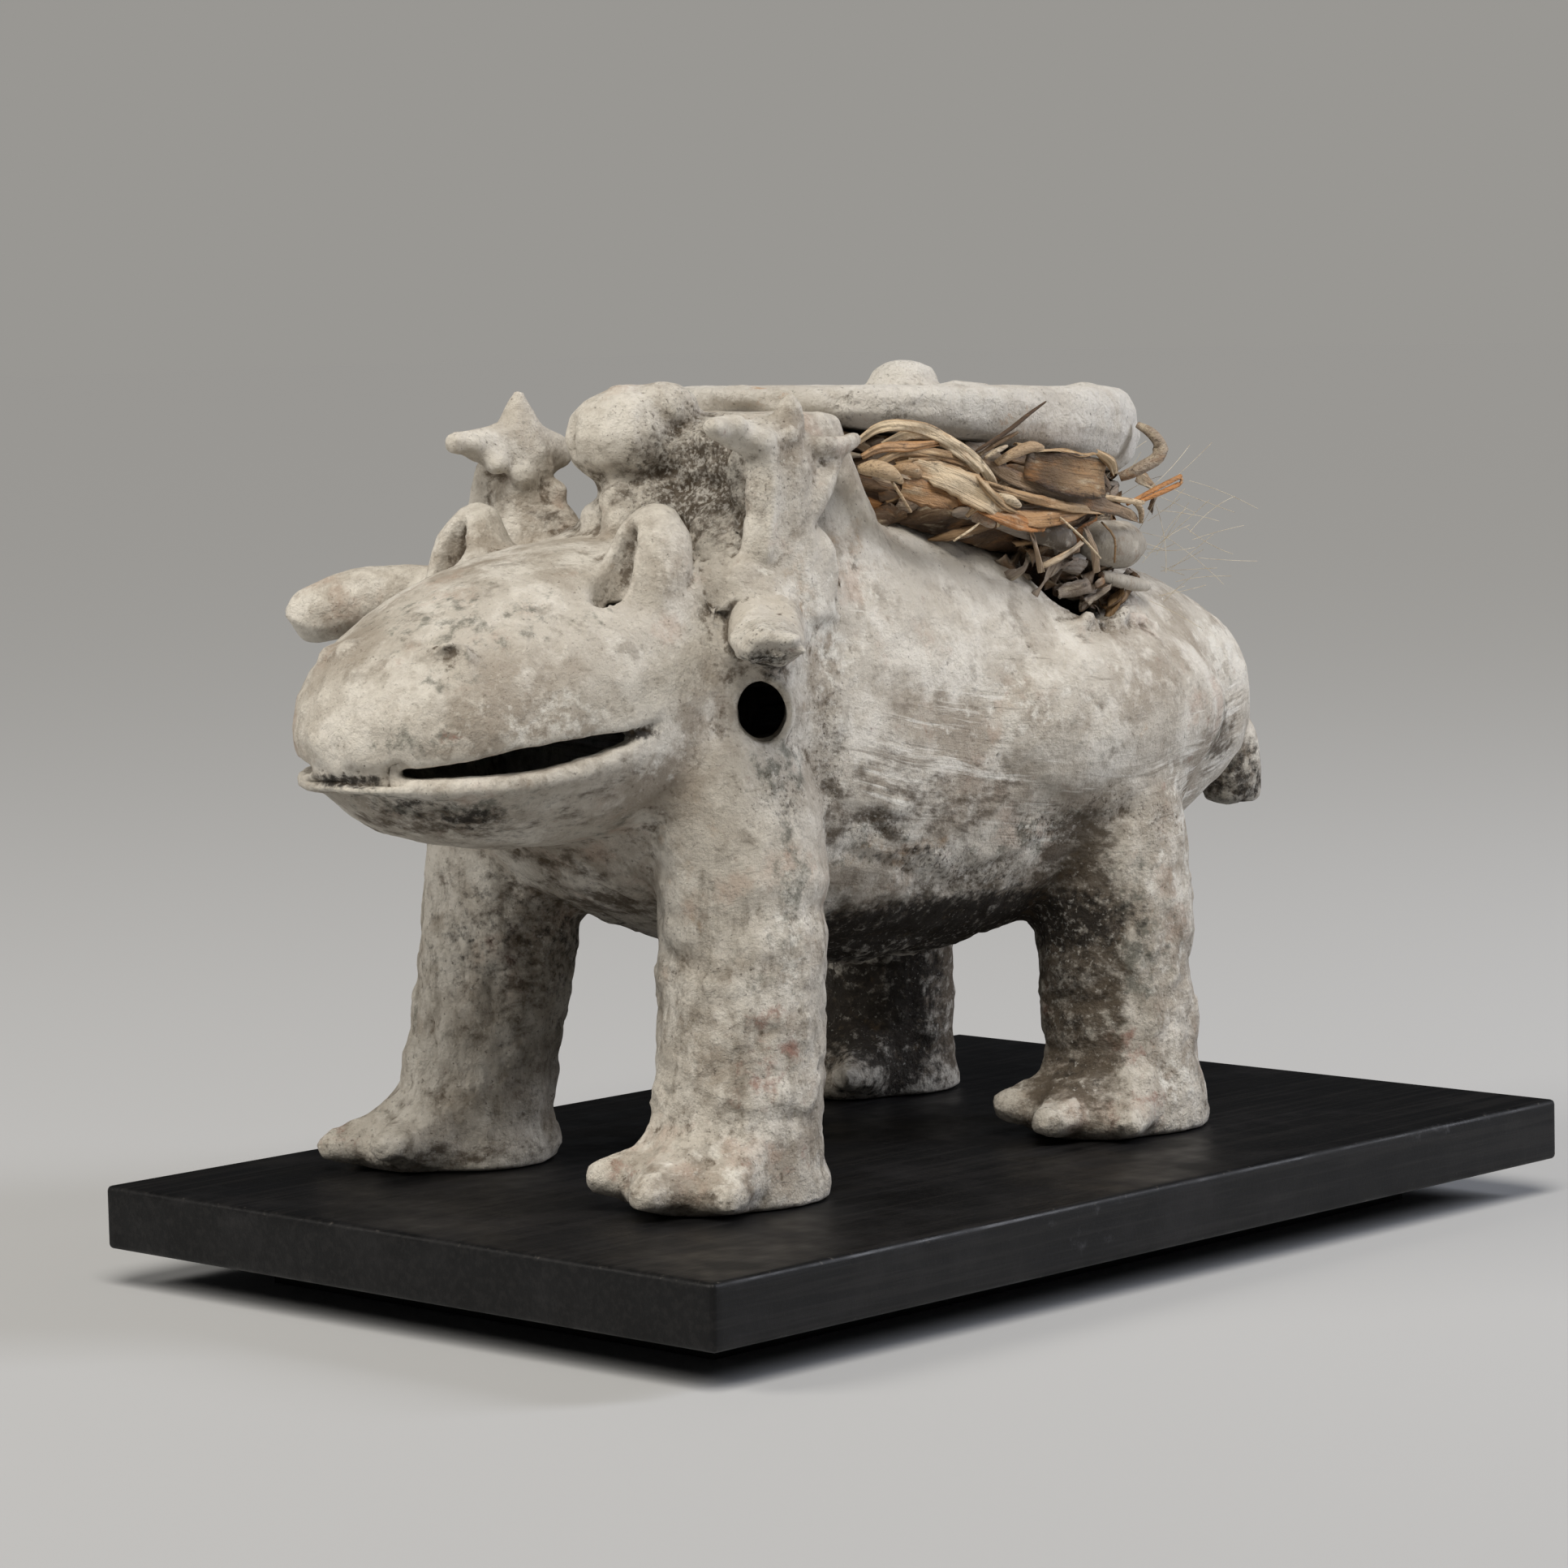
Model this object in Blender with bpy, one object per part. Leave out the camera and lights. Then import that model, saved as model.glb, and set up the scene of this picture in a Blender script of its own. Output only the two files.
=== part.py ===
# Clay beast with a lid on its back, husks packed under the lid, on a black wooden board.
# Metres, +Z up. The beast faces -Y and its left flank is at +X.
# The origin is the centre of the board foot's underside.
import math

import bmesh
import bpy
from mathutils import Matrix, Vector

for old in list(bpy.data.objects):
    bpy.data.objects.remove(old, do_unlink=True)

# Board and its recessed foot
BOARD_WIDTH = 0.400
BOARD_LENGTH = 0.600
BOARD_THICKNESS = 0.030
BOARD_EDGE_ROUND = 0.0025
FOOT_HEIGHT = 0.018
FOOT_INSET = 0.055

# Beast
BEAST_LENGTH = 0.580          # nose to rump; its free form is given in shares of this
BEAST_OFFSET_X = -0.017       # its middle line from the board's
BODY_WALL = 0.013             # clay of the barrel
HEAD_WALL = 0.011             # clay of the snout
EAR_HOLE_WIDTH = 0.024
EAR_HOLE_HEIGHT = 0.028
EAR_HOLE_TURN = 42            # degrees that it faces forward from straight out
EAR_HOLE_REACH = 0.100        # length of its cut, from inside the hollow to clear outside
MOUTH_OPENING = 0.011         # widest gap between the lips
OPENING_LENGTH = 0.176        # hole in the back, under the lid
OPENING_WIDTH = 0.136

# Lid
LID_LENGTH = 0.244
LID_WIDTH = 0.196
LID_FRONT_THICKNESS = 0.016
LID_REAR_THICKNESS = 0.046
LID_DROP = 0.008              # how far its top falls to the rear
KNOB_WIDTH = 0.037
KNOB_HEIGHT = 0.013

# Husks
HUSK_THICKNESS = 0.0016

CLEARANCE = 0.0003            # between pieces that touch
SAFE_GROWTH = 1.6             # times the clearance, because a grown form comes nearer at its edges
CLAY_GRAIN = 0.0042           # step of the remeshed clay
CLAY_FACES = 3700             # faces of the beast before its holes are cut
HOLLOW_GRAIN = 0.007
HOLLOW_FACES = 800

SHARE = BEAST_LENGTH / 580    # one share of the beast's length
LID_Y = 66                    # middle of the lid along the beast, in shares
LID_TOP = 366                 # its top at the front, above the soles, in shares
LID_SQUARENESS = 2.35         # power of the superellipse that it is in plan
OPENING_BOTTOM = 225          # the cut of the back's opening, above the soles, in shares
OPENING_PAST_LID = 54         # how far that cut runs past the lid's top, in shares
BOARD_TOP = FOOT_HEIGHT + CLEARANCE + BOARD_THICKNESS
SOLE_HEIGHT = BOARD_TOP + CLEARANCE


def place(x, y, z):
    """World place of a point given in shares from the beast's middle, on its soles."""
    return Vector((BEAST_OFFSET_X + x * SHARE, y * SHARE, SOLE_HEIGHT + z * SHARE))


def material(name, colour, roughness):
    made = bpy.data.materials.new(name)
    made.use_nodes = True
    shader = made.node_tree.nodes["Principled BSDF"]
    shader.inputs["Base Color"].default_value = (*colour, 1)
    shader.inputs["Roughness"].default_value = roughness
    shader.inputs["Metallic"].default_value = 0.0
    return made


CLAY = material("chalky_clay", (0.56, 0.51, 0.44), 0.92)
LID_CLAY = material("pale_lid_clay", (0.62, 0.58, 0.51), 0.9)
HUSK = material("dry_husk", (0.45, 0.31, 0.18), 0.7)
GREY_HUSK = material("grey_husk", (0.38, 0.33, 0.28), 0.8)
TWIG = material("dark_twig", (0.09, 0.06, 0.04), 0.8)
BLACK_WOOD = material("black_painted_wood", (0.012, 0.012, 0.013), 0.42)


def add_object(name, mesh, finish):
    made = bpy.data.objects.new(name, mesh)
    bpy.context.scene.collection.objects.link(made)
    if finish:
        mesh.materials.clear()
        mesh.materials.append(finish)
    return made


def make_cutter(obj):
    obj.hide_render = True
    obj.display_type = "WIRE"
    return obj


def loft(name, rings, finish=None):
    """Closed mesh through rings of points, all with the same count, with a fan at each end."""
    shape = bmesh.new()
    rows = [[shape.verts.new(point) for point in ring] for ring in rings]
    count = len(rings[0])
    for low, high in zip(rows, rows[1:]):
        for i in range(count):
            j = (i + 1) % count
            shape.faces.new((low[i], low[j], high[j], high[i]))
    for row, turned in ((rows[0], True), (rows[-1], False)):
        middle = sum((vert.co for vert in row), Vector()) / count
        hub = shape.verts.new(middle)
        for i in range(count):
            j = (i + 1) % count
            shape.faces.new((row[j], row[i], hub) if turned else (row[i], row[j], hub))
    bmesh.ops.recalc_face_normals(shape, faces=shape.faces)
    mesh = bpy.data.meshes.new(name)
    shape.to_mesh(mesh)
    shape.free()
    return add_object(name, mesh, finish)


def oval_ring(middle, across, up, power=2.0, sides=28):
    """Ring of a superellipse: across and up are its half axes as vectors, power 2 is an ellipse."""
    points = []
    for i in range(sides):
        angle = math.tau * i / sides
        c, s = math.cos(angle), math.sin(angle)
        a = math.copysign(abs(c) ** (2 / power), c)
        b = math.copysign(abs(s) ** (2 / power), s)
        points.append(middle + across * a + up * b)
    return points


def smooth_rows(rows, steps):
    """Rows of numbers read from a smooth curve through the given ones, steps for each stretch."""
    padded = [rows[0], *rows, rows[-1]]
    found = []
    for i in range(1, len(padded) - 2):
        before, start, end, after = padded[i - 1 : i + 3]
        for step in range(steps):
            t = step / steps
            found.append(
                [
                    0.5 * (2 * b + (c - a) * t + (2 * a - 5 * b + 4 * c - d) * t * t
                           + (3 * b - a - 3 * c + d) * t ** 3)
                    for a, b, c, d in zip(before, start, end, after)
                ]
            )
    return [*found, list(rows[-1])]


def barrel(name, stations, inset=0.0, power=2.4):
    """Form along Y: each station is y, half width, bottom, top, shift in x, all in shares."""
    rings = []
    for y, half, bottom, top, shift in smooth_rows(stations, 3):
        across = max(half * SHARE - inset, 0.001)
        up = max((top - bottom) / 2 * SHARE - inset, 0.001)
        middle = place(shift, y, (bottom + top) / 2)
        rings.append(oval_ring(middle, Vector((across, 0, 0)), Vector((0, 0, up)), power))
    return loft(name, rings)


def limb(name, stations, squash=1.0, sides=20):
    """Round form along a path: each station is x, y, z and radius in shares; squash flattens its height."""
    rows = smooth_rows(stations, 3)
    centres = [place(x, y, z) for x, y, z, _ in rows]
    rings = []
    for i, row in enumerate(rows):
        ahead = centres[min(i + 1, len(rows) - 1)] - centres[max(i - 1, 0)]
        turn = ahead.to_track_quat("Z", "Y")
        across = turn @ Vector((1, 0, 0)) * row[3] * SHARE
        up = turn @ Vector((0, 1, 0)) * row[3] * SHARE
        if squash != 1.0:
            across.z *= squash
            up.z *= squash
        rings.append(oval_ring(centres[i], across, up, 2.0, sides))
    return loft(name, rings)


def blob(name, centre, radii, tilt=(0, 0, 0)):
    """Ellipsoid with half axes in shares, turned by tilt in degrees."""
    shape = bmesh.new()
    bmesh.ops.create_icosphere(shape, subdivisions=3, radius=1)
    turn = Matrix.Rotation(math.radians(tilt[2]), 4, "Z")
    turn = turn @ Matrix.Rotation(math.radians(tilt[1]), 4, "Y")
    turn = turn @ Matrix.Rotation(math.radians(tilt[0]), 4, "X")
    sizes = Matrix.Diagonal((*(radius * SHARE for radius in radii), 1))
    shape.transform(Matrix.Translation(place(*centre)) @ turn @ sizes)
    mesh = bpy.data.meshes.new(name)
    shape.to_mesh(mesh)
    shape.free()
    return add_object(name, mesh, None)


def box(name, low, high, finish=None):
    """Box between two world corners."""
    shape = bmesh.new()
    bmesh.ops.create_cube(shape, size=1)
    size = Vector(high) - Vector(low)
    middle = (Vector(high) + Vector(low)) / 2
    shape.transform(Matrix.Translation(middle) @ Matrix.Diagonal((*size, 1)))
    mesh = bpy.data.meshes.new(name)
    shape.to_mesh(mesh)
    shape.free()
    return add_object(name, mesh, finish)


def apply_modifiers(obj):
    graph = bpy.context.evaluated_depsgraph_get()
    mesh = bpy.data.meshes.new_from_object(obj.evaluated_get(graph))
    obj.modifiers.clear()
    obj.data = mesh


def fuse(name, parts, grain, rounds, faces, finish=None):
    """One skin over all the parts: remeshed, smoothed at the joins and thinned to a number of faces."""
    shape = bmesh.new()
    for part in parts:
        shape.from_mesh(part.data)
        bpy.data.objects.remove(part, do_unlink=True)
    mesh = bpy.data.meshes.new(name)
    shape.to_mesh(mesh)
    shape.free()
    whole = add_object(name, mesh, None)
    remesh = whole.modifiers.new("skin", "REMESH")
    remesh.mode = "VOXEL"
    remesh.voxel_size = grain
    remesh.adaptivity = 0.0
    smooth = whole.modifiers.new("soften", "SMOOTH")
    smooth.factor = 0.5
    smooth.iterations = rounds
    apply_modifiers(whole)
    thin = whole.modifiers.new("thin", "DECIMATE")
    thin.ratio = min(1.0, faces / (2 * len(whole.data.polygons)))
    thin.use_collapse_triangulate = True
    apply_modifiers(whole)
    if finish:
        whole.data.materials.clear()
        whole.data.materials.append(finish)
    return whole


def cut(obj, cutter):
    taken = obj.modifiers.new("cut " + cutter.name, "BOOLEAN")
    taken.operation = "DIFFERENCE"
    taken.solver = "EXACT"
    taken.object = cutter
    make_cutter(cutter)


# Body and head, each station y, half width, bottom, top, shift in x
BODY = [
    (-190, 42, 182, 262, 0),
    (-168, 84, 140, 292, 0),
    (-130, 99, 120, 304, 0),
    (-90, 104, 104, 316, 0),
    (-45, 106, 92, 318, 0),
    (0, 107, 87, 311, 0),
    (50, 109, 88, 302, 0),
    (100, 109, 100, 292, 0),
    (150, 105, 113, 282, 0),
    (190, 97, 130, 270, 0),
    (225, 86, 148, 255, 0),
    (247, 66, 157, 242, 0),
    (258, 43, 168, 228, 0),
    (264, 16, 186, 209, 0),
]
HEAD = [
    (-311, 11, 208, 220, 0),
    (-302, 34, 199, 240, 0),
    (-284, 56, 182, 258, 0),
    (-260, 72, 168, 272, 0),
    (-225, 84, 162, 287, 0),
    (-187, 90, 160, 296, 0),
    (-150, 90, 158, 300, 0),
]


# Toes, each its spread in degrees, reach, lift of its tip and thickness
TOES = [(-30, 66, 13, 8.5), (2, 72, 9, 9.5), (34, 60, 7, 9)]
TOE_SQUASH = 0.85
PAD_REACH = 34


def leg_parts(side, ground_x, ground_y, radius, top_x, top_y, toe_turn):
    """Leg with a flared foot and three toes; side is 1 at +X and -1 at -X."""
    made = [
        limb(
            "leg",
            [
                (ground_x, ground_y, -12, radius * 1.06),
                (ground_x, ground_y, 4, radius * 1.08),
                (ground_x, ground_y, 26, radius * 0.98),
                ((ground_x + top_x) / 2, (ground_y + top_y) / 2, 78, radius * 0.97),
                (top_x, top_y, 140, radius * 1.02),
                (top_x * 0.85, top_y, 200, radius * 0.95),
            ],
        )
    ]
    for spread, reach, lift, thick in TOES:
        angle = math.radians(toe_turn + side * spread)
        dx, dy = math.sin(angle), -math.cos(angle)
        path = (
            (6, 34, 24),
            (26, 22, 21),
            (reach * 0.68, 11 + lift * 0.3, 15),
            (reach, lift + 2, thick),
            (reach + 7, lift + 1, thick * 0.5),
        )
        stations = [(ground_x + dx * out, ground_y + dy * out, z, radius) for out, z, radius in path]
        made.append(limb("toe", stations, TOE_SQUASH))
    # Pad between the toes, which shows only their tips
    turn = math.radians(toe_turn)
    pad = (ground_x + PAD_REACH * math.sin(turn), ground_y - PAD_REACH * math.cos(turn), 9)
    made.append(blob("foot_pad", pad, (34, 26, 15), (0, 0, toe_turn)))
    return made


# The mouth runs round an oval in plan, from the near corner at 0 degrees to the far one at -180
MOUTH_MIDDLE_Y = -192
MOUTH_HALF_WIDTH = 81
MOUTH_REACH = 113
LIP_RADIUS = 5.5
NARROWEST_GAP = 0.4           # the slit at its corners
SLIT_REACH = (0.5, 1.3)       # the cut through the lips runs between these shares of the oval


def mouth_gap(turn):
    """Opening between the lips, in shares: widest beside the corners, narrow at the front."""
    from_corner = min(-turn, 180 + turn)
    swell = 0.3 + 0.7 * math.exp(-(((from_corner - 30) / 28) ** 2))
    return MOUTH_OPENING / SHARE * swell * min(1, from_corner / 14) ** 0.7


def mouth_point(turn, reach, lift):
    """Place on the mouth's line, out by a share reach of its oval and raised by lift."""
    angle = math.radians(turn)
    dip = 14 * math.sin(1.25 * min(-angle, math.pi + angle))
    return (
        reach * MOUTH_HALF_WIDTH * math.cos(angle),
        MOUTH_MIDDLE_Y + reach * MOUTH_REACH * math.sin(angle),
        217 - dip + lift,
    )


# Horn-like lugs, whole at -X and broken short at +X: out, y, height and radius
LUGS = {
    -1: [
        (84, -124, 258, 22),
        (112, -150, 267, 18.5),
        (134, -172, 268, 16.5),
        (150, -189, 261, 14.5),
        (157, -196, 256, 9),
    ],
    1: [(84, -124, 257, 19), (108, -146, 260, 17), (126, -163, 258, 16), (138, -175, 254, 12.5)],
}

# Rings of the collar: y, height, half width and half length; its top two follow the lid
COLLAR = (
    (-40, 230, 88, 57),
    (-48, 270, 85, 55),
    (-60, 295, 75, 48),
    (-69, LID_TOP - 31, 66, 43),
    (-71, LID_TOP - 12, 61, 40),
)


def beast_parts():
    parts = [barrel("body", BODY), barrel("head", HEAD, power=2.15)]
    # Collar that carries the front of the lid
    parts.append(
        loft(
            "collar",
            [
                oval_ring(place(8, y, z), Vector((across * SHARE, 0, 0)), Vector((0, along * SHARE, 0)), 2.5)
                for y, z, across, along in COLLAR
            ],
        )
    )
    # Lips along the mouth
    for side in (1, -1):
        line = []
        for i in range(19):
            turn = -2 - 176 * i / 18
            lift = side * (mouth_gap(turn) / 2 + LIP_RADIUS * 0.75)
            line.append((*mouth_point(turn, 1.0 - 0.012 * side, lift), LIP_RADIUS))
        parts.append(limb("lip", line, sides=10))
    # Nostril rims
    parts.append(blob("nostril_rim", (27, -266, 252), (9, 9, 8)))
    parts.append(blob("nostril_rim", (-30, -283, 252), (8, 8, 7)))
    for side in (1, -1):
        # Ear hood and horn-like lug
        parts.append(blob("ear", (side * 60, -172, 286), (21, 17, 33), (-22, 0, side * 12)))
        parts.append(limb("lug", [(side * x, y, z, radius) for x, y, z, radius in LUGS[side]]))
        # Rim round the ear hole
        parts.append(blob("hole_rim", (side * 88, -134, 222), (16, 24, 26), (0, 0, side * -30)))
        # Small figure on the shoulder: trunk, arms along the flank, head
        parts.append(
            limb(
                "figure_trunk",
                [
                    (side * 78, -108, 262, 29),
                    (side * 82, -112, 290, 22),
                    (side * 85, -114, 315, 16.5),
                    (side * 86, -114, 338, 15),
                    (side * 86, -114, 347, 10),
                ],
            )
        )
    parts.append(
        limb(
            "near_arms",
            [
                (88, -160, 350, 6),
                (87, -140, 347, 9),
                (86, -114, 342, 12),
                (87, -90, 338, 9),
                (90, -66, 340, 5.5),
            ],
        )
    )
    parts.append(
        limb(
            "far_arms",
            [
                (-84, -160, 343, 6.5),
                (-84, -146, 342, 8),
                (-84, -114, 338, 13),
                (-81, -92, 336, 10),
                (-80, -84, 334, 8),
            ],
        )
    )
    far_head = [(335, 17), (350, 10.5), (363, 5.5), (369, 2.5)]
    parts.append(limb("far_head", [(-83, -114, height, radius) for height, radius in far_head]))
    # Ball and bump in front of the collar
    parts.append(blob("ball", (2, -128, 345), (25, 23, 24)))
    parts.append(blob("bump", (6, -108, 352), (18, 18, 18)))
    parts.append(limb("ball_neck", [(2, -118, 286, 24), (2, -120, 310, 19), (2, -122, 330, 18)]))
    parts += leg_parts(1, 83, -147, 40, 80, -136, 6)
    parts += leg_parts(-1, -94, -145, 38, -82, -132, -24)
    parts += leg_parts(1, 92, 115, 39, 85, 113, 8)
    parts += leg_parts(-1, -86, 136, 36, -78, 128, -6)
    # Haunches, which overhang the rear legs
    for side in (1, -1):
        parts.append(blob("haunch", (side * 86, 90, 200), (41, 104, 50), (0, side * 10, 0)))
    # Tail stub
    tail = [(2, 244, 204, 19), (3, 276, 196, 19), (4, 298, 180, 18.5), (5, 307, 158, 18), (5, 308, 137, 17)]
    parts.append(limb("tail", tail))
    return parts


def lid_height(y, share):
    """Height of the lid's underside, share 0, or top, share 1, at a place along the beast."""
    front = place(0, LID_Y, LID_TOP).z
    along = (y - (place(0, LID_Y, 0).y - LID_LENGTH / 2)) / LID_LENGTH
    top = front - LID_DROP * along
    thickness = LID_FRONT_THICKNESS + (LID_REAR_THICKNESS - LID_FRONT_THICKNESS) * along
    return top - thickness * (1 - share)


# The lid's rounded edge: share of its thickness, and how far in from its widest
LID_PROFILE = ((0, 0.010), (0.14, 0.003), (0.4, 0.0), (0.75, 0.0), (0.93, 0.003), (1, 0.009))


def lid_form(name, grow, finish, top_up=0.0):
    """The lid, or a larger copy of it that cuts its seat: grow widens it, top_up raises its top."""
    middle = place(0, LID_Y, 0)
    rings = []
    for share, inward in LID_PROFILE:
        across = Vector((LID_WIDTH / 2 + grow - inward, 0, 0))
        along = Vector((0, LID_LENGTH / 2 + grow - inward, 0))
        ring = oval_ring(Vector((middle.x, middle.y, 0)), across, along, LID_SQUARENESS, 32)
        for point in ring:
            point.z = lid_height(point.y, share) - grow * (share < 0.5) + top_up * (share > 0.5)
        rings.append(ring)
    return loft(name, rings, finish)


def back_holes(inset):
    """The opening of the back and the broken hole of the upper rear flank, or smaller copies of them."""
    middle = place(0, LID_Y, 0)
    across = Vector((OPENING_WIDTH / 2 - inset, 0, 0))
    along = Vector((0, OPENING_LENGTH / 2 - inset, 0))
    rings = []
    for height in (OPENING_BOTTOM, LID_TOP + OPENING_PAST_LID):
        hub = Vector((middle.x, middle.y, place(0, 0, height).z))
        rings.append(oval_ring(hub, across, along, 2.2, 24))
    less = inset / SHARE
    return (
        loft("back_opening", rings),
        blob("broken_hole", (92, 100, 284), (34 - less, 42 - less, 38 - less), (0, 22, 4)),
    )


def make_beast():
    """The beast, and its seat: the form that the wad keeps clear of."""
    beast = fuse("beast", beast_parts(), CLAY_GRAIN, 4, CLAY_FACES, CLAY)
    seat = make_cutter(grown(beast))
    for hole in back_holes(CLEARANCE):
        cut(seat, hole)
    reach = BEAST_LENGTH
    cut(beast, box("below_soles", (-reach, -reach, -reach), (reach, reach, SOLE_HEIGHT)))
    # Hollow of body and head
    hollow = fuse(
        "hollow",
        [barrel("body_hollow", BODY, BODY_WALL), barrel("head_hollow", HEAD[1:], HEAD_WALL, 2.15)],
        HOLLOW_GRAIN, 3, HOLLOW_FACES,
    )
    cut(beast, hollow)
    for hole in back_holes(0):
        cut(beast, hole)
    cut(beast, lid_form("lid_seat", CLEARANCE, None, 0.1))
    # Mouth slit through the front and both sides
    slit = []
    for i in range(25):
        turn = -180 * i / 24
        half = max(mouth_gap(turn), NARROWEST_GAP) / 2
        inner, outer = SLIT_REACH
        corners = ((inner, -half), (outer, -half), (outer, half), (inner, half))
        slit.append([place(*mouth_point(turn, reach, lift)) for reach, lift in corners])
    cut(beast, loft("mouth_slit", slit))
    # Ear holes, ear hollows, nostril pit
    for side in (1, -1):
        turn = math.radians(EAR_HOLE_TURN)
        out = Vector((side * math.cos(turn), -math.sin(turn), 0))
        across = Vector((out.y, -out.x, 0)) * EAR_HOLE_WIDTH / 2
        up = Vector((0, 0, EAR_HOLE_HEIGHT / 2))
        start = place(side * 64, -108, 222)
        end = start + out * EAR_HOLE_REACH
        cut(beast, loft("ear_hole", [oval_ring(start, across, up), oval_ring(end, across, up)]))
        cut(beast, blob("ear_hollow", (side * 59, -193, 291), (8, 22, 25), (-22, 0, side * 12)))
    cut(beast, blob("nostril_pit", (31, -272, 253), (4.5, 6, 5)))
    return beast, seat


def grown(piece):
    """Cutter with the form of a piece, larger by the clearance."""
    graph = bpy.context.evaluated_depsgraph_get()
    mesh = bpy.data.meshes.new_from_object(piece.evaluated_get(graph))
    shape = bmesh.new()
    shape.from_mesh(mesh)
    for vert in shape.verts:
        vert.co += vert.normal * CLEARANCE * SAFE_GROWTH
    shape.to_mesh(mesh)
    shape.free()
    return add_object(piece.name + "_clearance", mesh, None)


def husk(name, stations, finish=HUSK, across_points=4):
    """Curved strip facing out from the lid: each station is x, y, z, half width, cup and turn in degrees."""
    rows = smooth_rows(stations, 2)
    centres = [place(*row[:3]) for row in rows]
    hub = place(0, LID_Y, 0)
    shape = bmesh.new()
    grid = []
    for i, row in enumerate(rows):
        ahead = (centres[min(i + 1, len(rows) - 1)] - centres[max(i - 1, 0)]).normalized()
        out = Vector((centres[i].x - hub.x, centres[i].y - hub.y, 0)).normalized()
        face = (out - ahead * out.dot(ahead)).normalized()
        face = Matrix.Rotation(math.radians(row[5]), 3, ahead) @ face
        across = ahead.cross(face)
        line = []
        for k in range(across_points):
            u = 2 * k / (across_points - 1) - 1
            spot = centres[i] + (across * row[3] * u + face * row[4] * (1 - u * u)) * SHARE
            line.append((spot + face * HUSK_THICKNESS / 2, spot - face * HUSK_THICKNESS / 2))
        grid.append([[shape.verts.new(pair[side]) for pair in line] for side in (0, 1)])
    for low, high in zip(grid, grid[1:]):
        for k in range(across_points - 1):
            shape.faces.new((low[0][k], low[0][k + 1], high[0][k + 1], high[0][k]))
            shape.faces.new((low[1][k + 1], low[1][k], high[1][k], high[1][k + 1]))
        shape.faces.new((low[1][0], low[0][0], high[0][0], high[1][0]))
        shape.faces.new((low[0][-1], low[1][-1], high[1][-1], high[0][-1]))
    for front, back in (grid[0], grid[-1]):
        for k in range(across_points - 1):
            shape.faces.new((front[k], back[k], back[k + 1], front[k + 1]))
    bmesh.ops.recalc_face_normals(shape, faces=shape.faces)
    mesh = bpy.data.meshes.new(name)
    shape.to_mesh(mesh)
    shape.free()
    return add_object(name, mesh, finish)


WAD_SIDES = 34
WAD_BOTTOM = 252
WAD_RINGS = ((0, 60, 80), (0.3, 66, 86), (0.45, 84, 104), (0.65, 90, 110), (0.85, 90, 111), (1, 84, 104))


def wad_fold(side, share):
    """How far the bundle swells at one of its sides, for its crumpled folds."""
    turn = math.tau * side / WAD_SIDES
    return 1 + 0.02 * math.sin(7 * turn + 5 * share) + 0.012 * math.sin(11 * turn)


def make_wad(seat, pieces):
    """Bundle of husks packed between the rim of the opening and the lid."""
    middle = place(0, LID_Y, 0)
    rings = []
    low = place(0, 0, WAD_BOTTOM).z
    for share, wide, long in WAD_RINGS:
        ring = []
        oval = oval_ring(Vector(), Vector((wide * SHARE, 0, 0)), Vector((0, long * SHARE, 0)), 2.2, WAD_SIDES)
        for i, point in enumerate(oval):
            x = middle.x + point.x * wad_fold(i, share)
            y = middle.y + point.y * wad_fold(i, share)
            top = lid_height(y, 0) - CLEARANCE
            ring.append(Vector((x, y, low + (top - low) * share)))
        rings.append(ring)
    wad = loft("husk_wad", rings, HUSK)
    cut(wad, seat)
    for piece in pieces:
        cut(wad, grown(piece))


# Husk strips, each station x, y, drop below the lid's top, half width, cup and turn in degrees
STRIPS = {
    "fan_husk": [
        (93, -66, 30, 3, 1, 10),
        (97, -40, 23, 7, 2, 10),
        (99, -10, 26, 8, 3, 0),
        (99, 14, 36, 3, 1, 0),
    ],
    "torn_strip": [
        (94, -38, 48, 4, 1, 0),
        (101, -18, 49, 9, 3, -10),
        (104, 10, 60, 8, 3, -14),
        (103, 34, 69, 7, 2, -20),
        (98, 50, 74, 4, 1, -20),
    ],
    "folded_leaf": [
        (104, 24, 39, 4, 1, 0),
        (107, 44, 42, 10, 5, 8),
        (109, 70, 46, 13, 7, 0),
        (107, 96, 47, 9, 3, -10),
    ],
    "long_strip": [
        (99, 46, 55, 3, 1, 0),
        (103, 70, 60, 5, 2, 0),
        (106, 98, 65, 5, 2, 0),
        (107, 122, 69, 4, 1, 0),
    ],
    "rear_leaf": [
        (90, 148, 30, 4, 1, 0),
        (90, 166, 39, 8, 3, 0),
        (80, 182, 52, 8, 3, 0),
        (68, 190, 66, 4, 1, 0),
    ],
    "splinter": [(99, 134, 63, 3, 1, 0), (99, 152, 59, 4, 1, 0), (97, 172, 55, 3, 1, 0)],
}

# Round husk pieces: finish, number of sides, and stations x, y, drop below the lid's top and radius
ROUNDS = {
    "seed_pod": (HUSK, 12, [(94, -74, 40, 3), (97, -66, 39, 7), (98, -56, 42, 7), (97, -48, 46, 3)]),
    "twig": (TWIG, 8, [(110, 6, 33, 1.6), (111, 28, 22, 1.8), (112, 52, 11, 1.4)]),
    "grey_scoop": (GREY_HUSK, 12, [(88, 54, 79, 5), (93, 62, 78, 10), (95, 72, 81, 11), (94, 80, 85, 5)]),
    "round_lump": (
        GREY_HUSK,
        14,
        [(82, 100, 82, 6), (88, 110, 82, 12), (88, 128, 83, 13), (84, 140, 84, 7)],
    ),
    "small_tube": (GREY_HUSK, 10, [(86, 112, 102, 4), (88, 128, 101, 5), (86, 144, 102, 4)]),
}


def under_lid(stations):
    """Stations whose third number is a drop below the lid's top, with their height in its place."""
    return [(x, y, LID_TOP - drop, *rest) for x, y, drop, *rest in stations]


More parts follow.
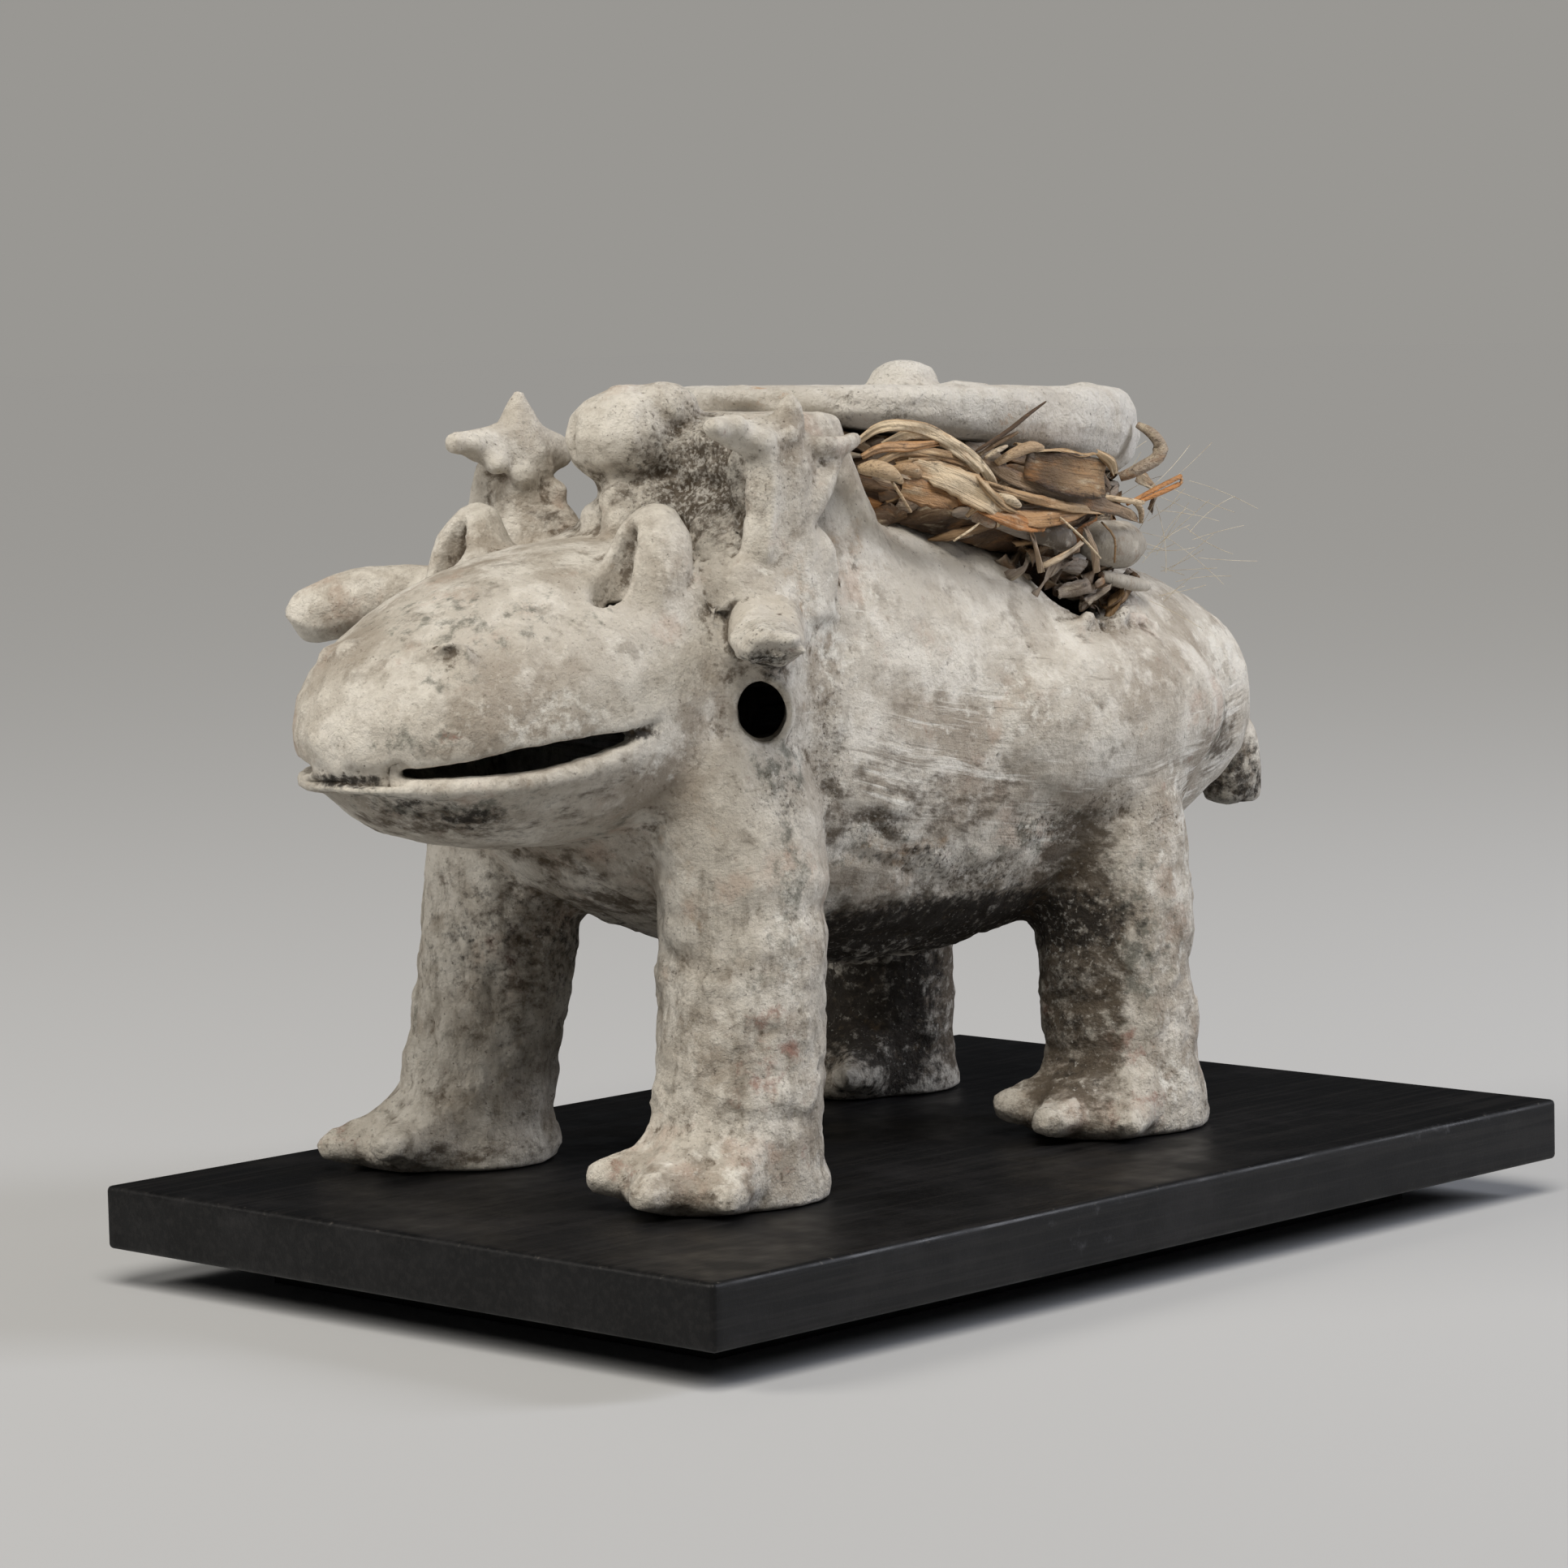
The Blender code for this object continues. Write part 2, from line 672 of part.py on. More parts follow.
def make_husks():
    """The husks, straws and lumps that stand out of the wad on the near side and at the rear."""
    pieces = [husk(name, under_lid(stations)) for name, stations in STRIPS.items()]
    for name, (finish, sides, stations) in ROUNDS.items():
        solid = limb(name, under_lid(stations), sides=sides)
        solid.data.materials.append(finish)
        pieces.append(solid)
    return pieces


def make_lid():
    lid = lid_form("back_lid", 0.0, LID_CLAY)
    middle = place(0, LID_Y, 0)
    top = lid_height(middle.y, 1)
    shape = bmesh.new()
    bmesh.ops.create_uvsphere(shape, u_segments=16, v_segments=10, radius=1)
    sizes = Matrix.Diagonal((KNOB_WIDTH / 2, KNOB_WIDTH / 2, KNOB_HEIGHT, 1))
    shape.transform(Matrix.Translation((middle.x, middle.y, top)) @ sizes)
    mesh = bpy.data.meshes.new("knob")
    shape.to_mesh(mesh)
    shape.free()
    knob = add_object("knob", mesh, None)
    joined = lid.modifiers.new("knob", "BOOLEAN")
    joined.operation = "UNION"
    joined.solver = "EXACT"
    joined.object = knob
    make_cutter(knob)


def make_board():
    low_x, low_y = -BOARD_WIDTH / 2, -BOARD_LENGTH / 2
    bottom = FOOT_HEIGHT + CLEARANCE
    board = box("board", (low_x, low_y, bottom), (-low_x, -low_y, BOARD_TOP), BLACK_WOOD)
    rounded = board.modifiers.new("worn edges", "BEVEL")
    rounded.width = BOARD_EDGE_ROUND
    rounded.segments = 2
    foot_x, foot_y = -low_x - FOOT_INSET, -low_y - FOOT_INSET
    box("board_foot", (-foot_x, -foot_y, 0), (foot_x, foot_y, FOOT_HEIGHT), BLACK_WOOD)


def build():
    make_board()
    husks = make_husks()
    beast, seat = make_beast()
    for piece in husks:
        cut(beast, grown(piece))
    make_wad(seat, husks)
    make_lid()


build()
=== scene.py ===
import math
import random
import bmesh
import bpy
import numpy as np
from mathutils import Matrix, Vector


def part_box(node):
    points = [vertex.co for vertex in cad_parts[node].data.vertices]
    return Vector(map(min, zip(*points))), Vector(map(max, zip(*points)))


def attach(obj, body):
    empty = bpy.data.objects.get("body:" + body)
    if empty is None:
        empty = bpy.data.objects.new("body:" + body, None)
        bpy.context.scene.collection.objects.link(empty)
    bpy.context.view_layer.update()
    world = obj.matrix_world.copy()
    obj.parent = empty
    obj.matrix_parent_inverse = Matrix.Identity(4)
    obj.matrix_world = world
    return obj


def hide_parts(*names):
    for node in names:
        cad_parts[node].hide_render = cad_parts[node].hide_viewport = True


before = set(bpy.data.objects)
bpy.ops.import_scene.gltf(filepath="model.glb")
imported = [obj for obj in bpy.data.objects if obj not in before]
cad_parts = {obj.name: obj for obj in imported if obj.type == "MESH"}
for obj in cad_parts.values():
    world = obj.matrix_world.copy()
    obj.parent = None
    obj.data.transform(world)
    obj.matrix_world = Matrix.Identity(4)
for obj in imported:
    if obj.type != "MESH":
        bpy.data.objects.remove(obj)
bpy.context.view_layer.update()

# Places on the beast are given in millimetres from its middle line, on its soles, facing -Y
mm = 0.001
lidLow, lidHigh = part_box("back_lid")
middleX = (lidLow.x + lidHigh.x) / 2
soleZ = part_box("beast")[0].z


def spot(x, y, z):
    return Vector((middleX + x * mm, y * mm, soleZ + z * mm))


def linear(code):
    # sRGB hex to linear colour
    parts = [int(code[i : i + 2], 16) / 255 for i in (1, 3, 5)]
    return (*(p / 12.92 if p < 0.04045 else ((p + 0.055) / 1.055) ** 2.4 for p in parts), 1)


def addNode(tree, kind, settings=None, links=None):
    node = tree.nodes.new("ShaderNode" + kind)
    for name, value in (settings or {}).items():
        if isinstance(name, str) and hasattr(node, name):
            setattr(node, name, value)
        else:
            node.inputs[name].default_value = value
    for name, source in (links or {}).items():
        tree.links.new(source, node.inputs[name])
    return node


# Patterns

def grainField(tree, place, entry):
    # noise with grains about entry's grain in millimetres, longer where its stretch is more than 1
    if entry.get("flow"):
        place = addNode(tree, "Attribute", {"attribute_name": "flow"}).outputs["Vector"]
    seed = entry.get("seed", 0.0)
    scale = [1 / (entry["grain"] * mm * s) for s in entry.get("stretch", (1, 1, 1))]
    settings = {"Scale": scale, "Location": (seed, seed * 1.7, seed * 2.3)}
    moved = addNode(tree, "Mapping", settings, {"Vector": place})
    settings = {"Scale": 1.0, "Detail": entry.get("detail", 2), "Roughness": 0.66}
    return addNode(tree, "TexNoise", settings, {"Vector": moved.outputs[0]}).outputs["Fac"]


def layerOver(tree, place, below, layer):
    # a colour laid over the one below, where its grain and its painted mask together are high enough
    value = grainField(tree, place, layer) if "grain" in layer else None
    if "where" in layer:
        mask = addNode(tree, "Attribute", {"attribute_name": layer["where"]}).outputs["Fac"]
        if value is None:
            value = mask
        else:
            settings = {"operation": "MULTIPLY_ADD", 1: layer["swing"], 2: -layer["swing"] / 2}
            centred = addNode(tree, "Math", settings, {0: value}).outputs[0]
            value = addNode(tree, "Math", {"operation": "ADD"}, {0: centred, 1: mask}).outputs[0]
    settings = {"interpolation_type": "SMOOTHSTEP", "From Min": layer["low"], "From Max": layer["high"]}
    settings["To Max"] = layer["amount"]
    amount = addNode(tree, "MapRange", settings, {"Value": value}).outputs[0]
    settings = {"data_type": "RGBA", 7: linear(layer["colour"])}
    links = {0: amount}
    if isinstance(below, tuple):
        settings[6] = below
    else:
        links[6] = below
    return addNode(tree, "Mix", settings, links).outputs[2]


def bumpOver(tree, place, normal, bump):
    # fine relief in the light only, on top of the normal below
    height = grainField(tree, place, bump)
    if "where" in bump:
        mask = addNode(tree, "Attribute", {"attribute_name": bump["where"]}).outputs["Fac"]
        height = addNode(tree, "Math", {"operation": "MULTIPLY"}, {0: height, 1: mask}).outputs[0]
    links = {"Height": height}
    if normal:
        links["Normal"] = normal
    return addNode(tree, "Bump", {"Strength": 1.0, "Distance": bump["height"] * mm}, links).outputs[0]


def surfaceMaterial(name, look):
    made = bpy.data.materials.new(name)
    made.use_nodes = True
    tree = made.node_tree
    shader = tree.nodes["Principled BSDF"]
    if look.get("fibre"):
        place = addNode(tree, "Attribute", {"attribute_name": "fibre"}).outputs["Vector"]
    else:
        place = addNode(tree, "TexCoord").outputs["Object"]
    colour = linear(look["base"])
    for layer in look["layers"]:
        colour = layerOver(tree, place, colour, layer)
    tree.links.new(colour, shader.inputs["Base Color"])
    normal = None
    for bump in look["bumps"]:
        normal = bumpOver(tree, place, normal, bump)
    tree.links.new(normal, shader.inputs["Normal"])
    low, high = look["roughness"]
    grain = grainField(tree, place, {"grain": look.get("roughnessGrain", 12), "seed": 9.0})
    settings = {"From Min": 0.35, "From Max": 0.65, "To Min": low, "To Max": high}
    rough = addNode(tree, "MapRange", settings, {"Value": grain}).outputs[0]
    tree.links.new(rough, shader.inputs["Roughness"])
    shader.inputs["IOR"].default_value = look["ior"]
    shader.inputs["Specular IOR Level"].default_value = look["specular"]
    return made


def ramp(values, start, end):
    # 0 at start, 1 at end, straight between
    return np.clip((values - start) / (end - start), 0, 1)


def fieldAt(points, size, seed=0.0, stretch=(1, 1, 1), octaves=1):
    # smooth random heights from -1 to 1 at points in millimetres, in lumps of about the given size
    total = np.zeros(len(points))
    weight = 0.0
    for octave in range(octaves):
        scaled = points / (np.array(stretch) * size / 2 ** octave) + seed * 17.31 + octave * 5.17
        cell = np.floor(scaled).astype(np.int64)
        part = scaled - cell
        part = part * part * (3 - 2 * part)
        for corner in range(8):
            # a fixed hash of the cell's corner stands for a random height
            step = np.array([(corner >> k) & 1 for k in range(3)])
            code = (cell + step) @ np.array([73856093, 19349663, 83492791])
            code = (code ^ (code >> 13)) * 1274126177
            code = (code ^ (code >> 16)) & 0xFFFFFF
            share = np.prod(np.where(step, part, 1 - part), axis=1)
            total += (code / 0x7FFFFF - 1) * share / 2 ** octave
        weight += 1 / 2 ** octave
    return total / weight


# Mesh helpers

def addMesh(name, mesh, finish):
    made = bpy.data.objects.new(name, mesh)
    bpy.context.scene.collection.objects.link(made)
    mesh.materials.clear()
    mesh.materials.append(finish)
    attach(made, "root")
    return made


def smoothPath(points, steps):
    # rows of numbers read from a smooth curve through the given ones
    padded = [points[0], *points, points[-1]]
    found = []
    for i in range(1, len(padded) - 2):
        before, start, end, after = padded[i - 1 : i + 3]
        for step in range(steps):
            t = step / steps
            row = []
            for a, b, c, d in zip(before, start, end, after):
                bend = 2 * a - 5 * b + 4 * c - d
                row.append(0.5 * (2 * b + (c - a) * t + bend * t * t + (3 * b - a - 3 * c + d) * t ** 3))
            found.append(row)
    return [*found, list(points[-1])]


def addRoll(shape, stations, squash=1.0, sides=14):
    # round form along a path, each station x, y, z and radius in millimetres
    rows = smoothPath(stations, 3)
    centres = [spot(*row[:3]) for row in rows]
    rings = []
    for i, row in enumerate(rows):
        ahead = centres[min(i + 1, len(rows) - 1)] - centres[max(i - 1, 0)]
        turn = ahead.to_track_quat("Z", "Y")
        ring = []
        for k in range(sides):
            angle = math.tau * k / sides
            out = turn @ Vector((math.cos(angle), math.sin(angle) * squash, 0)) * row[3] * mm
            ring.append(shape.verts.new(centres[i] + out))
        rings.append(ring)
    for low, high in zip(rings, rings[1:]):
        for k in range(sides):
            j = (k + 1) % sides
            shape.faces.new((low[k], low[j], high[j], high[k]))
    shape.faces.new(rings[0][::-1])
    shape.faces.new(rings[-1])


def addLump(shape, centre, radii, tilt=(0, 0, 0)):
    turn = Matrix.Rotation(math.radians(tilt[2]), 4, "Z")
    turn = turn @ Matrix.Rotation(math.radians(tilt[1]), 4, "Y")
    turn = turn @ Matrix.Rotation(math.radians(tilt[0]), 4, "X")
    sizes = Matrix.Diagonal((*(r * mm for r in radii), 1))
    matrix = Matrix.Translation(spot(*centre)) @ turn @ sizes
    bmesh.ops.create_icosphere(shape, subdivisions=2, radius=1, matrix=matrix)


def addLumps(shape, lumps):
    for place, radii in lumps:
        addLump(shape, place, radii)


def applyModifiers(obj):
    graph = bpy.context.evaluated_depsgraph_get()
    mesh = bpy.data.meshes.new_from_object(obj.evaluated_get(graph))
    obj.modifiers.clear()
    obj.data = mesh


def skinOver(name, node, addForms, voxel, rounds, finish):
    # fine mesh with the CAD node's form and the added forms, in one skin
    shape = bmesh.new()
    shape.from_mesh(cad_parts[node].data)
    bmesh.ops.remove_doubles(shape, verts=shape.verts, dist=1e-6)
    if addForms:
        addForms(shape)
    mesh = bpy.data.meshes.new(name)
    shape.to_mesh(mesh)
    shape.free()
    piece = addMesh(name, mesh, finish)
    remesh = piece.modifiers.new("skin", "REMESH")
    remesh.mode = "VOXEL"
    remesh.voxel_size = voxel * mm
    remesh.adaptivity = 0.0
    soften = piece.modifiers.new("soften", "SMOOTH")
    soften.factor = 0.5
    soften.iterations = rounds
    applyModifiers(piece)
    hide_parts(node)
    return piece


def thinOut(piece, most):
    # keeps the piece under a number of triangles, fewest where it is flat
    if 2 * len(piece.data.polygons) > most:
        thin = piece.modifiers.new("thin", "DECIMATE")
        thin.ratio = most / (2 * len(piece.data.polygons))
        thin.use_collapse_triangulate = True
        applyModifiers(piece)
    piece.data.shade_smooth()


def pointsOf(piece):
    # places in millimetres from the beast's middle, and normals
    mesh = piece.data
    places = np.empty(len(mesh.vertices) * 3)
    mesh.vertices.foreach_get("co", places)
    normals = np.empty(len(mesh.vertices) * 3)
    mesh.vertex_normals.foreach_get("vector", normals)
    places = places.reshape(-1, 3) / mm - np.array([middleX / mm, 0, soleZ / mm])
    return places, normals.reshape(-1, 3)


def movePoints(piece, places):
    world = (places + np.array([middleX / mm, 0, soleZ / mm])) * mm
    piece.data.vertices.foreach_set("co", world.ravel())
    piece.data.update()


def setField(piece, name, values):
    layer = piece.data.attributes.new(name, "FLOAT", "POINT")
    layer.data.foreach_set("value", np.clip(values, 0, 1).astype(np.float32))


def setPlaces(piece, name, places):
    layer = piece.data.attributes.new(name, "FLOAT_VECTOR", "POINT")
    layer.data.foreach_set("vector", (places * mm).astype(np.float32).ravel())


def nearSpots(places, spots):
    # 1 at each spot's middle, 0 past its reach: x, y, z, reach along each axis and strength
    total = np.zeros(len(places))
    for x, y, z, rx, ry, rz, strength in spots:
        far = np.sqrt((((places - (x, y, z)) / (rx, ry, rz)) ** 2).sum(axis=1))
        total = np.maximum(total, strength * np.clip(1.3 - far, 0, 1) ** 0.8)
    return total


def hollows(piece, rounds):
    # how far each point lies under the smoothed surface, in millimetres
    mesh = piece.data
    places, normals = pointsOf(piece)
    edges = np.empty(len(mesh.edges) * 2, dtype=np.int64)
    mesh.edges.foreach_get("vertices", edges)
    a, b = edges.reshape(-1, 2).T
    count = np.bincount(a, minlength=len(places)) + np.bincount(b, minlength=len(places))
    smooth = places.copy()
    for _ in range(rounds):
        total = np.empty_like(smooth)
        for k in range(3):
            total[:, k] = np.bincount(a, smooth[b, k], len(places))
            total[:, k] += np.bincount(b, smooth[a, k], len(places))
        smooth = total / np.maximum(count, 1)[:, None]
    return ((smooth - places) * normals).sum(axis=1)


print("helpers ready")

# Camera at the photograph's place: metres, degrees and millimetres
view = {
    "place": (1.6860584, -1.7936993, 0.45485121), "yaw": 43.9133, "pitch": -5.3911, "roll": -1.3496,
    "lens": 118.07,
}


def addCamera():
    yaw, pitch, roll = (math.radians(view[k]) for k in ("yaw", "pitch", "roll"))
    ahead = Vector((-math.sin(yaw) * math.cos(pitch), math.cos(yaw) * math.cos(pitch), math.sin(pitch)))
    side = Vector((math.cos(yaw), math.sin(yaw), 0))
    up = side.cross(ahead)
    across = math.cos(roll) * side + math.sin(roll) * up
    over = -math.sin(roll) * side + math.cos(roll) * up
    data = bpy.data.cameras.new("camera")
    camera = bpy.data.objects.new("camera", data)
    bpy.context.scene.collection.objects.link(camera)
    turn = Matrix((across, over, -ahead)).transposed().to_4x4()
    camera.matrix_world = Matrix.Translation(view["place"]) @ turn
    data.lens = view["lens"]
    data.sensor_width = 36
    data.sensor_fit = "HORIZONTAL"
    data.clip_start = 0.05
    data.clip_end = 60
    bpy.context.scene.camera = camera


# Soft studio light: name, place, size in metres, watts, colour
lamps = [
    ("left", (-1.2, -2.4, 1.9), (1.3, 1.1), 40, "#fffaf2"),
    ("right", (1.9, 2.0, 1.5), (0.8, 1.3), 52, "#f2f5ff"),
]
studio = {
    "overLight": 2.55, "overWay": (-0.46, 0.46, -1), "overSpread": 34, "fill": 0.04,
    "warm": "#fffaf2", "cool": "#e3e6ea", "backdrop": "#999793", "floor": "#b6b7b8", "floorHalf": 30,
}


def addStage():
    scene = bpy.context.scene
    for name, place, size, watts, tint in lamps:
        data = bpy.data.lights.new(name, "AREA")
        data.shape = "RECTANGLE"
        data.size, data.size_y = size
        data.energy = watts
        data.color = linear(tint)[:3]
        lamp = bpy.data.objects.new(name, data)
        scene.collection.objects.link(lamp)
        lamp.location = place
        lamp.rotation_euler = (Vector((0, 0, 0.25)) - Vector(place)).to_track_quat("-Z", "Y").to_euler()
    data = bpy.data.lights.new("over", "SUN")
    data.energy = studio["overLight"]
    data.angle = math.radians(studio["overSpread"])
    data.color = linear(studio["warm"])[:3]
    over = bpy.data.objects.new("over", data)
    scene.collection.objects.link(over)
    over.rotation_euler = Vector(studio["overWay"]).to_track_quat("-Z", "Y").to_euler()
    # an even fill, seen as a backdrop of the floor's own tone
    world = bpy.data.worlds.new("studio")
    scene.world = world
    world.use_nodes = True
    tree = world.node_tree
    fill = tree.nodes["Background"]
    fill.inputs["Color"].default_value = linear(studio["cool"])
    fill.inputs["Strength"].default_value = studio["fill"]
    seen = addNode(tree, "Background", {"Color": linear(studio["backdrop"])})
    straight = addNode(tree, "LightPath").outputs["Is Camera Ray"]
    both = addNode(tree, "MixShader", {}, {0: straight, 1: fill.outputs[0], 2: seen.outputs[0]})
    tree.links.new(both.outputs[0], tree.nodes["World Output"].inputs["Surface"])
    scene.view_settings.view_transform = "Standard"
    shape = bmesh.new()
    bmesh.ops.create_grid(shape, x_segments=1, y_segments=1, size=studio["floorHalf"])
    mesh = bpy.data.meshes.new("floor")
    shape.to_mesh(mesh)
    shape.free()
    floor = bpy.data.objects.new("floor", mesh)
    scene.collection.objects.link(floor)
    paint = bpy.data.materials.new("pale_floor")
    paint.use_nodes = True
    shader = paint.node_tree.nodes["Principled BSDF"]
    shader.inputs["Base Color"].default_value = linear(studio["floor"])
    shader.inputs["Roughness"].default_value = 0.85
    mesh.materials.append(paint)


addCamera()
addStage()
print("camera and light ready")

# Kaolin-washed earthenware, hand modelled and unglazed: powdery and matte, cream where the wash is thick,
# warm grey where it is rubbed thin, with earth and painted shade in its hollows, painted highlight on its
# ridges, and painted shade under the belly and in the holes
clayLook = {
    "base": "#cfc8bc",
    "layers": [
        {"colour": "#9f9384", "grain": 62, "low": 0.43, "high": 0.62, "amount": 0.75, "seed": 1.0,
         "detail": 10},
        {"colour": "#ebe6dc", "grain": 34, "low": 0.47, "high": 0.63, "amount": 0.8, "seed": 2.0,
         "detail": 11},
        {"colour": "#8e8477", "grain": 17, "low": 0.54, "high": 0.67, "amount": 0.55, "seed": 3.0,
         "detail": 11},
        {"colour": "#bda391", "grain": 40, "low": 0.55, "high": 0.68, "amount": 0.45, "seed": 9.0,
         "detail": 10},
        # brushed strokes along the flank, about 4 mm wide and 80 mm long
        {"colour": "#7f7466", "grain": 4.2, "stretch": (4, 19, 1), "flow": True, "where": "strokes",
         "swing": 6.0, "low": 0.95, "high": 1.9, "amount": 0.6, "seed": 4.0, "detail": 4},
        {"colour": "#f1ede4", "grain": 3.6, "stretch": (4, 17, 1), "flow": True, "where": "strokes",
         "swing": 6.0, "low": 0.95, "high": 1.8, "amount": 0.8, "seed": 8.0, "detail": 4},
        # runs and flakes down the legs
        {"colour": "#857b6d", "grain": 10, "stretch": (1, 1, 3), "where": "legs", "swing": 5.0,
         "low": 0.6, "high": 1.6, "amount": 0.68, "seed": 18.0, "detail": 10},
        {"colour": "#e9e4da", "grain": 12, "stretch": (1, 1, 2), "where": "legs", "swing": 5.0,
         "low": 0.85, "high": 1.6, "amount": 0.5, "seed": 19.0, "detail": 11},
        {"colour": "#7c7b71", "grain": 9, "where": "moss", "swing": 4.0, "low": 0.45, "high": 1.15,
         "amount": 0.85, "seed": 5.0, "detail": 10},
        {"colour": "#9c6f60", "grain": 10, "where": "rust", "swing": 4.0, "low": 0.5, "high": 1.25,
         "amount": 0.7, "seed": 6.0, "detail": 10},
        {"colour": "#b08f6a", "grain": 16, "where": "tan", "swing": 3.0, "low": 0.4, "high": 1.1,
         "amount": 0.7, "seed": 7.0, "detail": 9},
        # dark earth colour: some real dirt, and painted shade under the belly, head and collar and on the
        # shaded rear legs and tail
        {"colour": "#5b5043", "grain": 7, "stretch": (1.5, 2.2, 1), "flow": True, "where": "dirt_and_shade",
         "swing": 3.0, "low": 0.3, "high": 1.05, "amount": 0.9, "seed": 11.0, "detail": 10},
        {"colour": "#e9e5db", "grain": 7, "where": "chalk", "swing": 3.5, "low": 0.5, "high": 1.2,
         "amount": 0.9, "seed": 13.0, "detail": 9},
        # near black: painted shade in the mouth slit, nostril and ear holes, under the lug and the belly, on
        # the tail and the far rear leg
        {"colour": "#332f2b", "grain": 5, "where": "painted_shade", "swing": 2.4, "low": 0.3, "high": 0.95,
         "amount": 0.95, "seed": 12.0, "detail": 9},
        # darker in the hollows: earth, and painted shade; lighter on the ridges: painted highlight
        {"colour": "#5d5040", "grain": 4, "where": "hollow", "swing": 3.0, "low": 0.35, "high": 1.2,
         "amount": 0.85, "seed": 16.0, "detail": 8},
        {"colour": "#e8e2d6", "grain": 5, "where": "ridge_highlight", "swing": 3.0, "low": 0.4, "high": 1.2,
         "amount": 0.6, "seed": 17.0, "detail": 8},
        # grit and pinholes, drawn 2 to 3 mm wide so that they show, thickest where the clay crumbles
        {"colour": "#574d41", "grain": 2.2, "where": "grime", "swing": 5.0, "low": 0.7, "high": 1.5,
         "amount": 0.8, "seed": 14.0, "detail": 9},
        {"colour": "#f0ece3", "grain": 2.6, "where": "grime", "swing": 5.0, "low": 0.85, "high": 1.5,
         "amount": 0.5, "seed": 15.0, "detail": 8},
    ],
    "bumps": [
        {"grain": 12, "height": 4.5, "detail": 11, "seed": 21.0},
        {"grain": 3.0, "height": 2.6, "detail": 8, "seed": 22.0, "where": "grime"},
        {"grain": 2.4, "stretch": (6, 22, 1), "flow": True, "height": 1.0, "detail": 5, "seed": 4.0,
         "where": "strokes"},
    ],
    "roughness": (0.88, 0.98),
    "ior": 1.5,
    "specular": 0.2,
}
chalkyClay = surfaceMaterial("chalky_clay", clayLook)

# The same wash, thicker and cleaner on the lid, with a few orange water stains
lidLook = {
    "base": "#eee9e0",
    "layers": [
        {"colour": "#b9ae9e", "grain": 55, "low": 0.46, "high": 0.66, "amount": 0.45, "seed": 31.0,
         "detail": 10},
        {"colour": "#efebe3", "grain": 30, "low": 0.46, "high": 0.64, "amount": 0.85, "seed": 32.0,
         "detail": 10},
        {"colour": "#958c7d", "grain": 13, "low": 0.55, "high": 0.7, "amount": 0.35, "seed": 33.0,
         "detail": 10},
        {"colour": "#c9955f", "grain": 7, "where": "tan", "swing": 4.0, "low": 0.55, "high": 1.2,
         "amount": 0.6, "seed": 34.0, "detail": 8},
        # darker patches near the crack and along the lid's near side
        {"colour": "#5f5548", "grain": 6, "where": "dirt_and_shade", "swing": 4.0, "low": 0.5, "high": 1.2,
         "amount": 0.85, "seed": 35.0, "detail": 9},
        {"colour": "#efece4", "grain": 8, "where": "chalk", "swing": 3.0, "low": 0.5, "high": 1.2,
         "amount": 0.8, "seed": 36.0, "detail": 8},
        # darker in the hollows: earth, and painted shade; lighter on the ridges: painted highlight
        {"colour": "#6d6152", "grain": 4, "where": "hollow", "swing": 3.0, "low": 0.45, "high": 1.3,
         "amount": 0.5, "seed": 39.0, "detail": 8},
        {"colour": "#ece8df", "grain": 5, "where": "ridge_highlight", "swing": 3.0, "low": 0.4, "high": 1.2,
         "amount": 0.5, "seed": 40.0, "detail": 8},
        {"colour": "#5d5549", "grain": 3.0, "low": 0.61, "high": 0.7, "amount": 0.6, "seed": 37.0,
         "detail": 6},
        {"colour": "#f0ece3", "grain": 2.6, "low": 0.62, "high": 0.74, "amount": 0.5, "seed": 38.0,
         "detail": 6},
    ],
    "bumps": [
        {"grain": 10, "height": 4.6, "detail": 11, "seed": 41.0},
        {"grain": 3.0, "height": 1.8, "detail": 8, "seed": 42.0},
    ],
    "roughness": (0.88, 0.98),
    "ior": 1.5,
    "specular": 0.2,
}
lidClay = surfaceMaterial("pale_lid_clay", lidLook)

# Dried maize husk: papery and ribbed, tan to straw with brown edges and a faint waxy gleam
huskLook = {
    "fibre": True,
    "base": "#b5946c",
    "layers": [
        {"colour": "#3c2b1d", "where": "tone", "low": 0.5, "high": 0.0, "amount": 0.97},
        {"colour": "#e4d0b0", "where": "tone", "low": 0.5, "high": 1.0, "amount": 0.97},
        {"colour": "#bd7f45", "where": "amber", "low": 0.0, "high": 1.0, "amount": 0.9},
        {"colour": "#9a9084", "where": "ash", "low": 0.0, "high": 1.0, "amount": 0.9},
        {"colour": "#a8743f", "grain": 10, "stretch": (1, 3, 1), "low": 0.5, "high": 0.7,
         "amount": 0.55, "seed": 53.0, "detail": 6},
        {"colour": "#e5d6b8", "grain": 7, "stretch": (1, 4, 1), "low": 0.52, "high": 0.7, "amount": 0.5,
         "seed": 55.0, "detail": 6},
        # veins 0.8 mm apart
        {"colour": "#5d452f", "grain": 0.8, "stretch": (1, 60, 1), "low": 0.48, "high": 0.68,
         "amount": 0.6, "seed": 51.0, "detail": 3},
        {"colour": "#33261b", "grain": 3.5, "stretch": (1, 3, 1), "low": 0.56, "high": 0.7,
         "amount": 0.75, "seed": 54.0, "detail": 7},
    ],
    "bumps": [
        {"grain": 0.8, "stretch": (1, 60, 1), "height": 0.5, "seed": 51.0},
        {"grain": 6, "stretch": (1, 2, 1), "height": 2.5, "detail": 6, "seed": 56.0},
    ],
    "roughness": (0.5, 0.72),
    "ior": 1.5,
    "specular": 0.35,
}
maizeHusk = surfaceMaterial("dry_husk", huskLook)

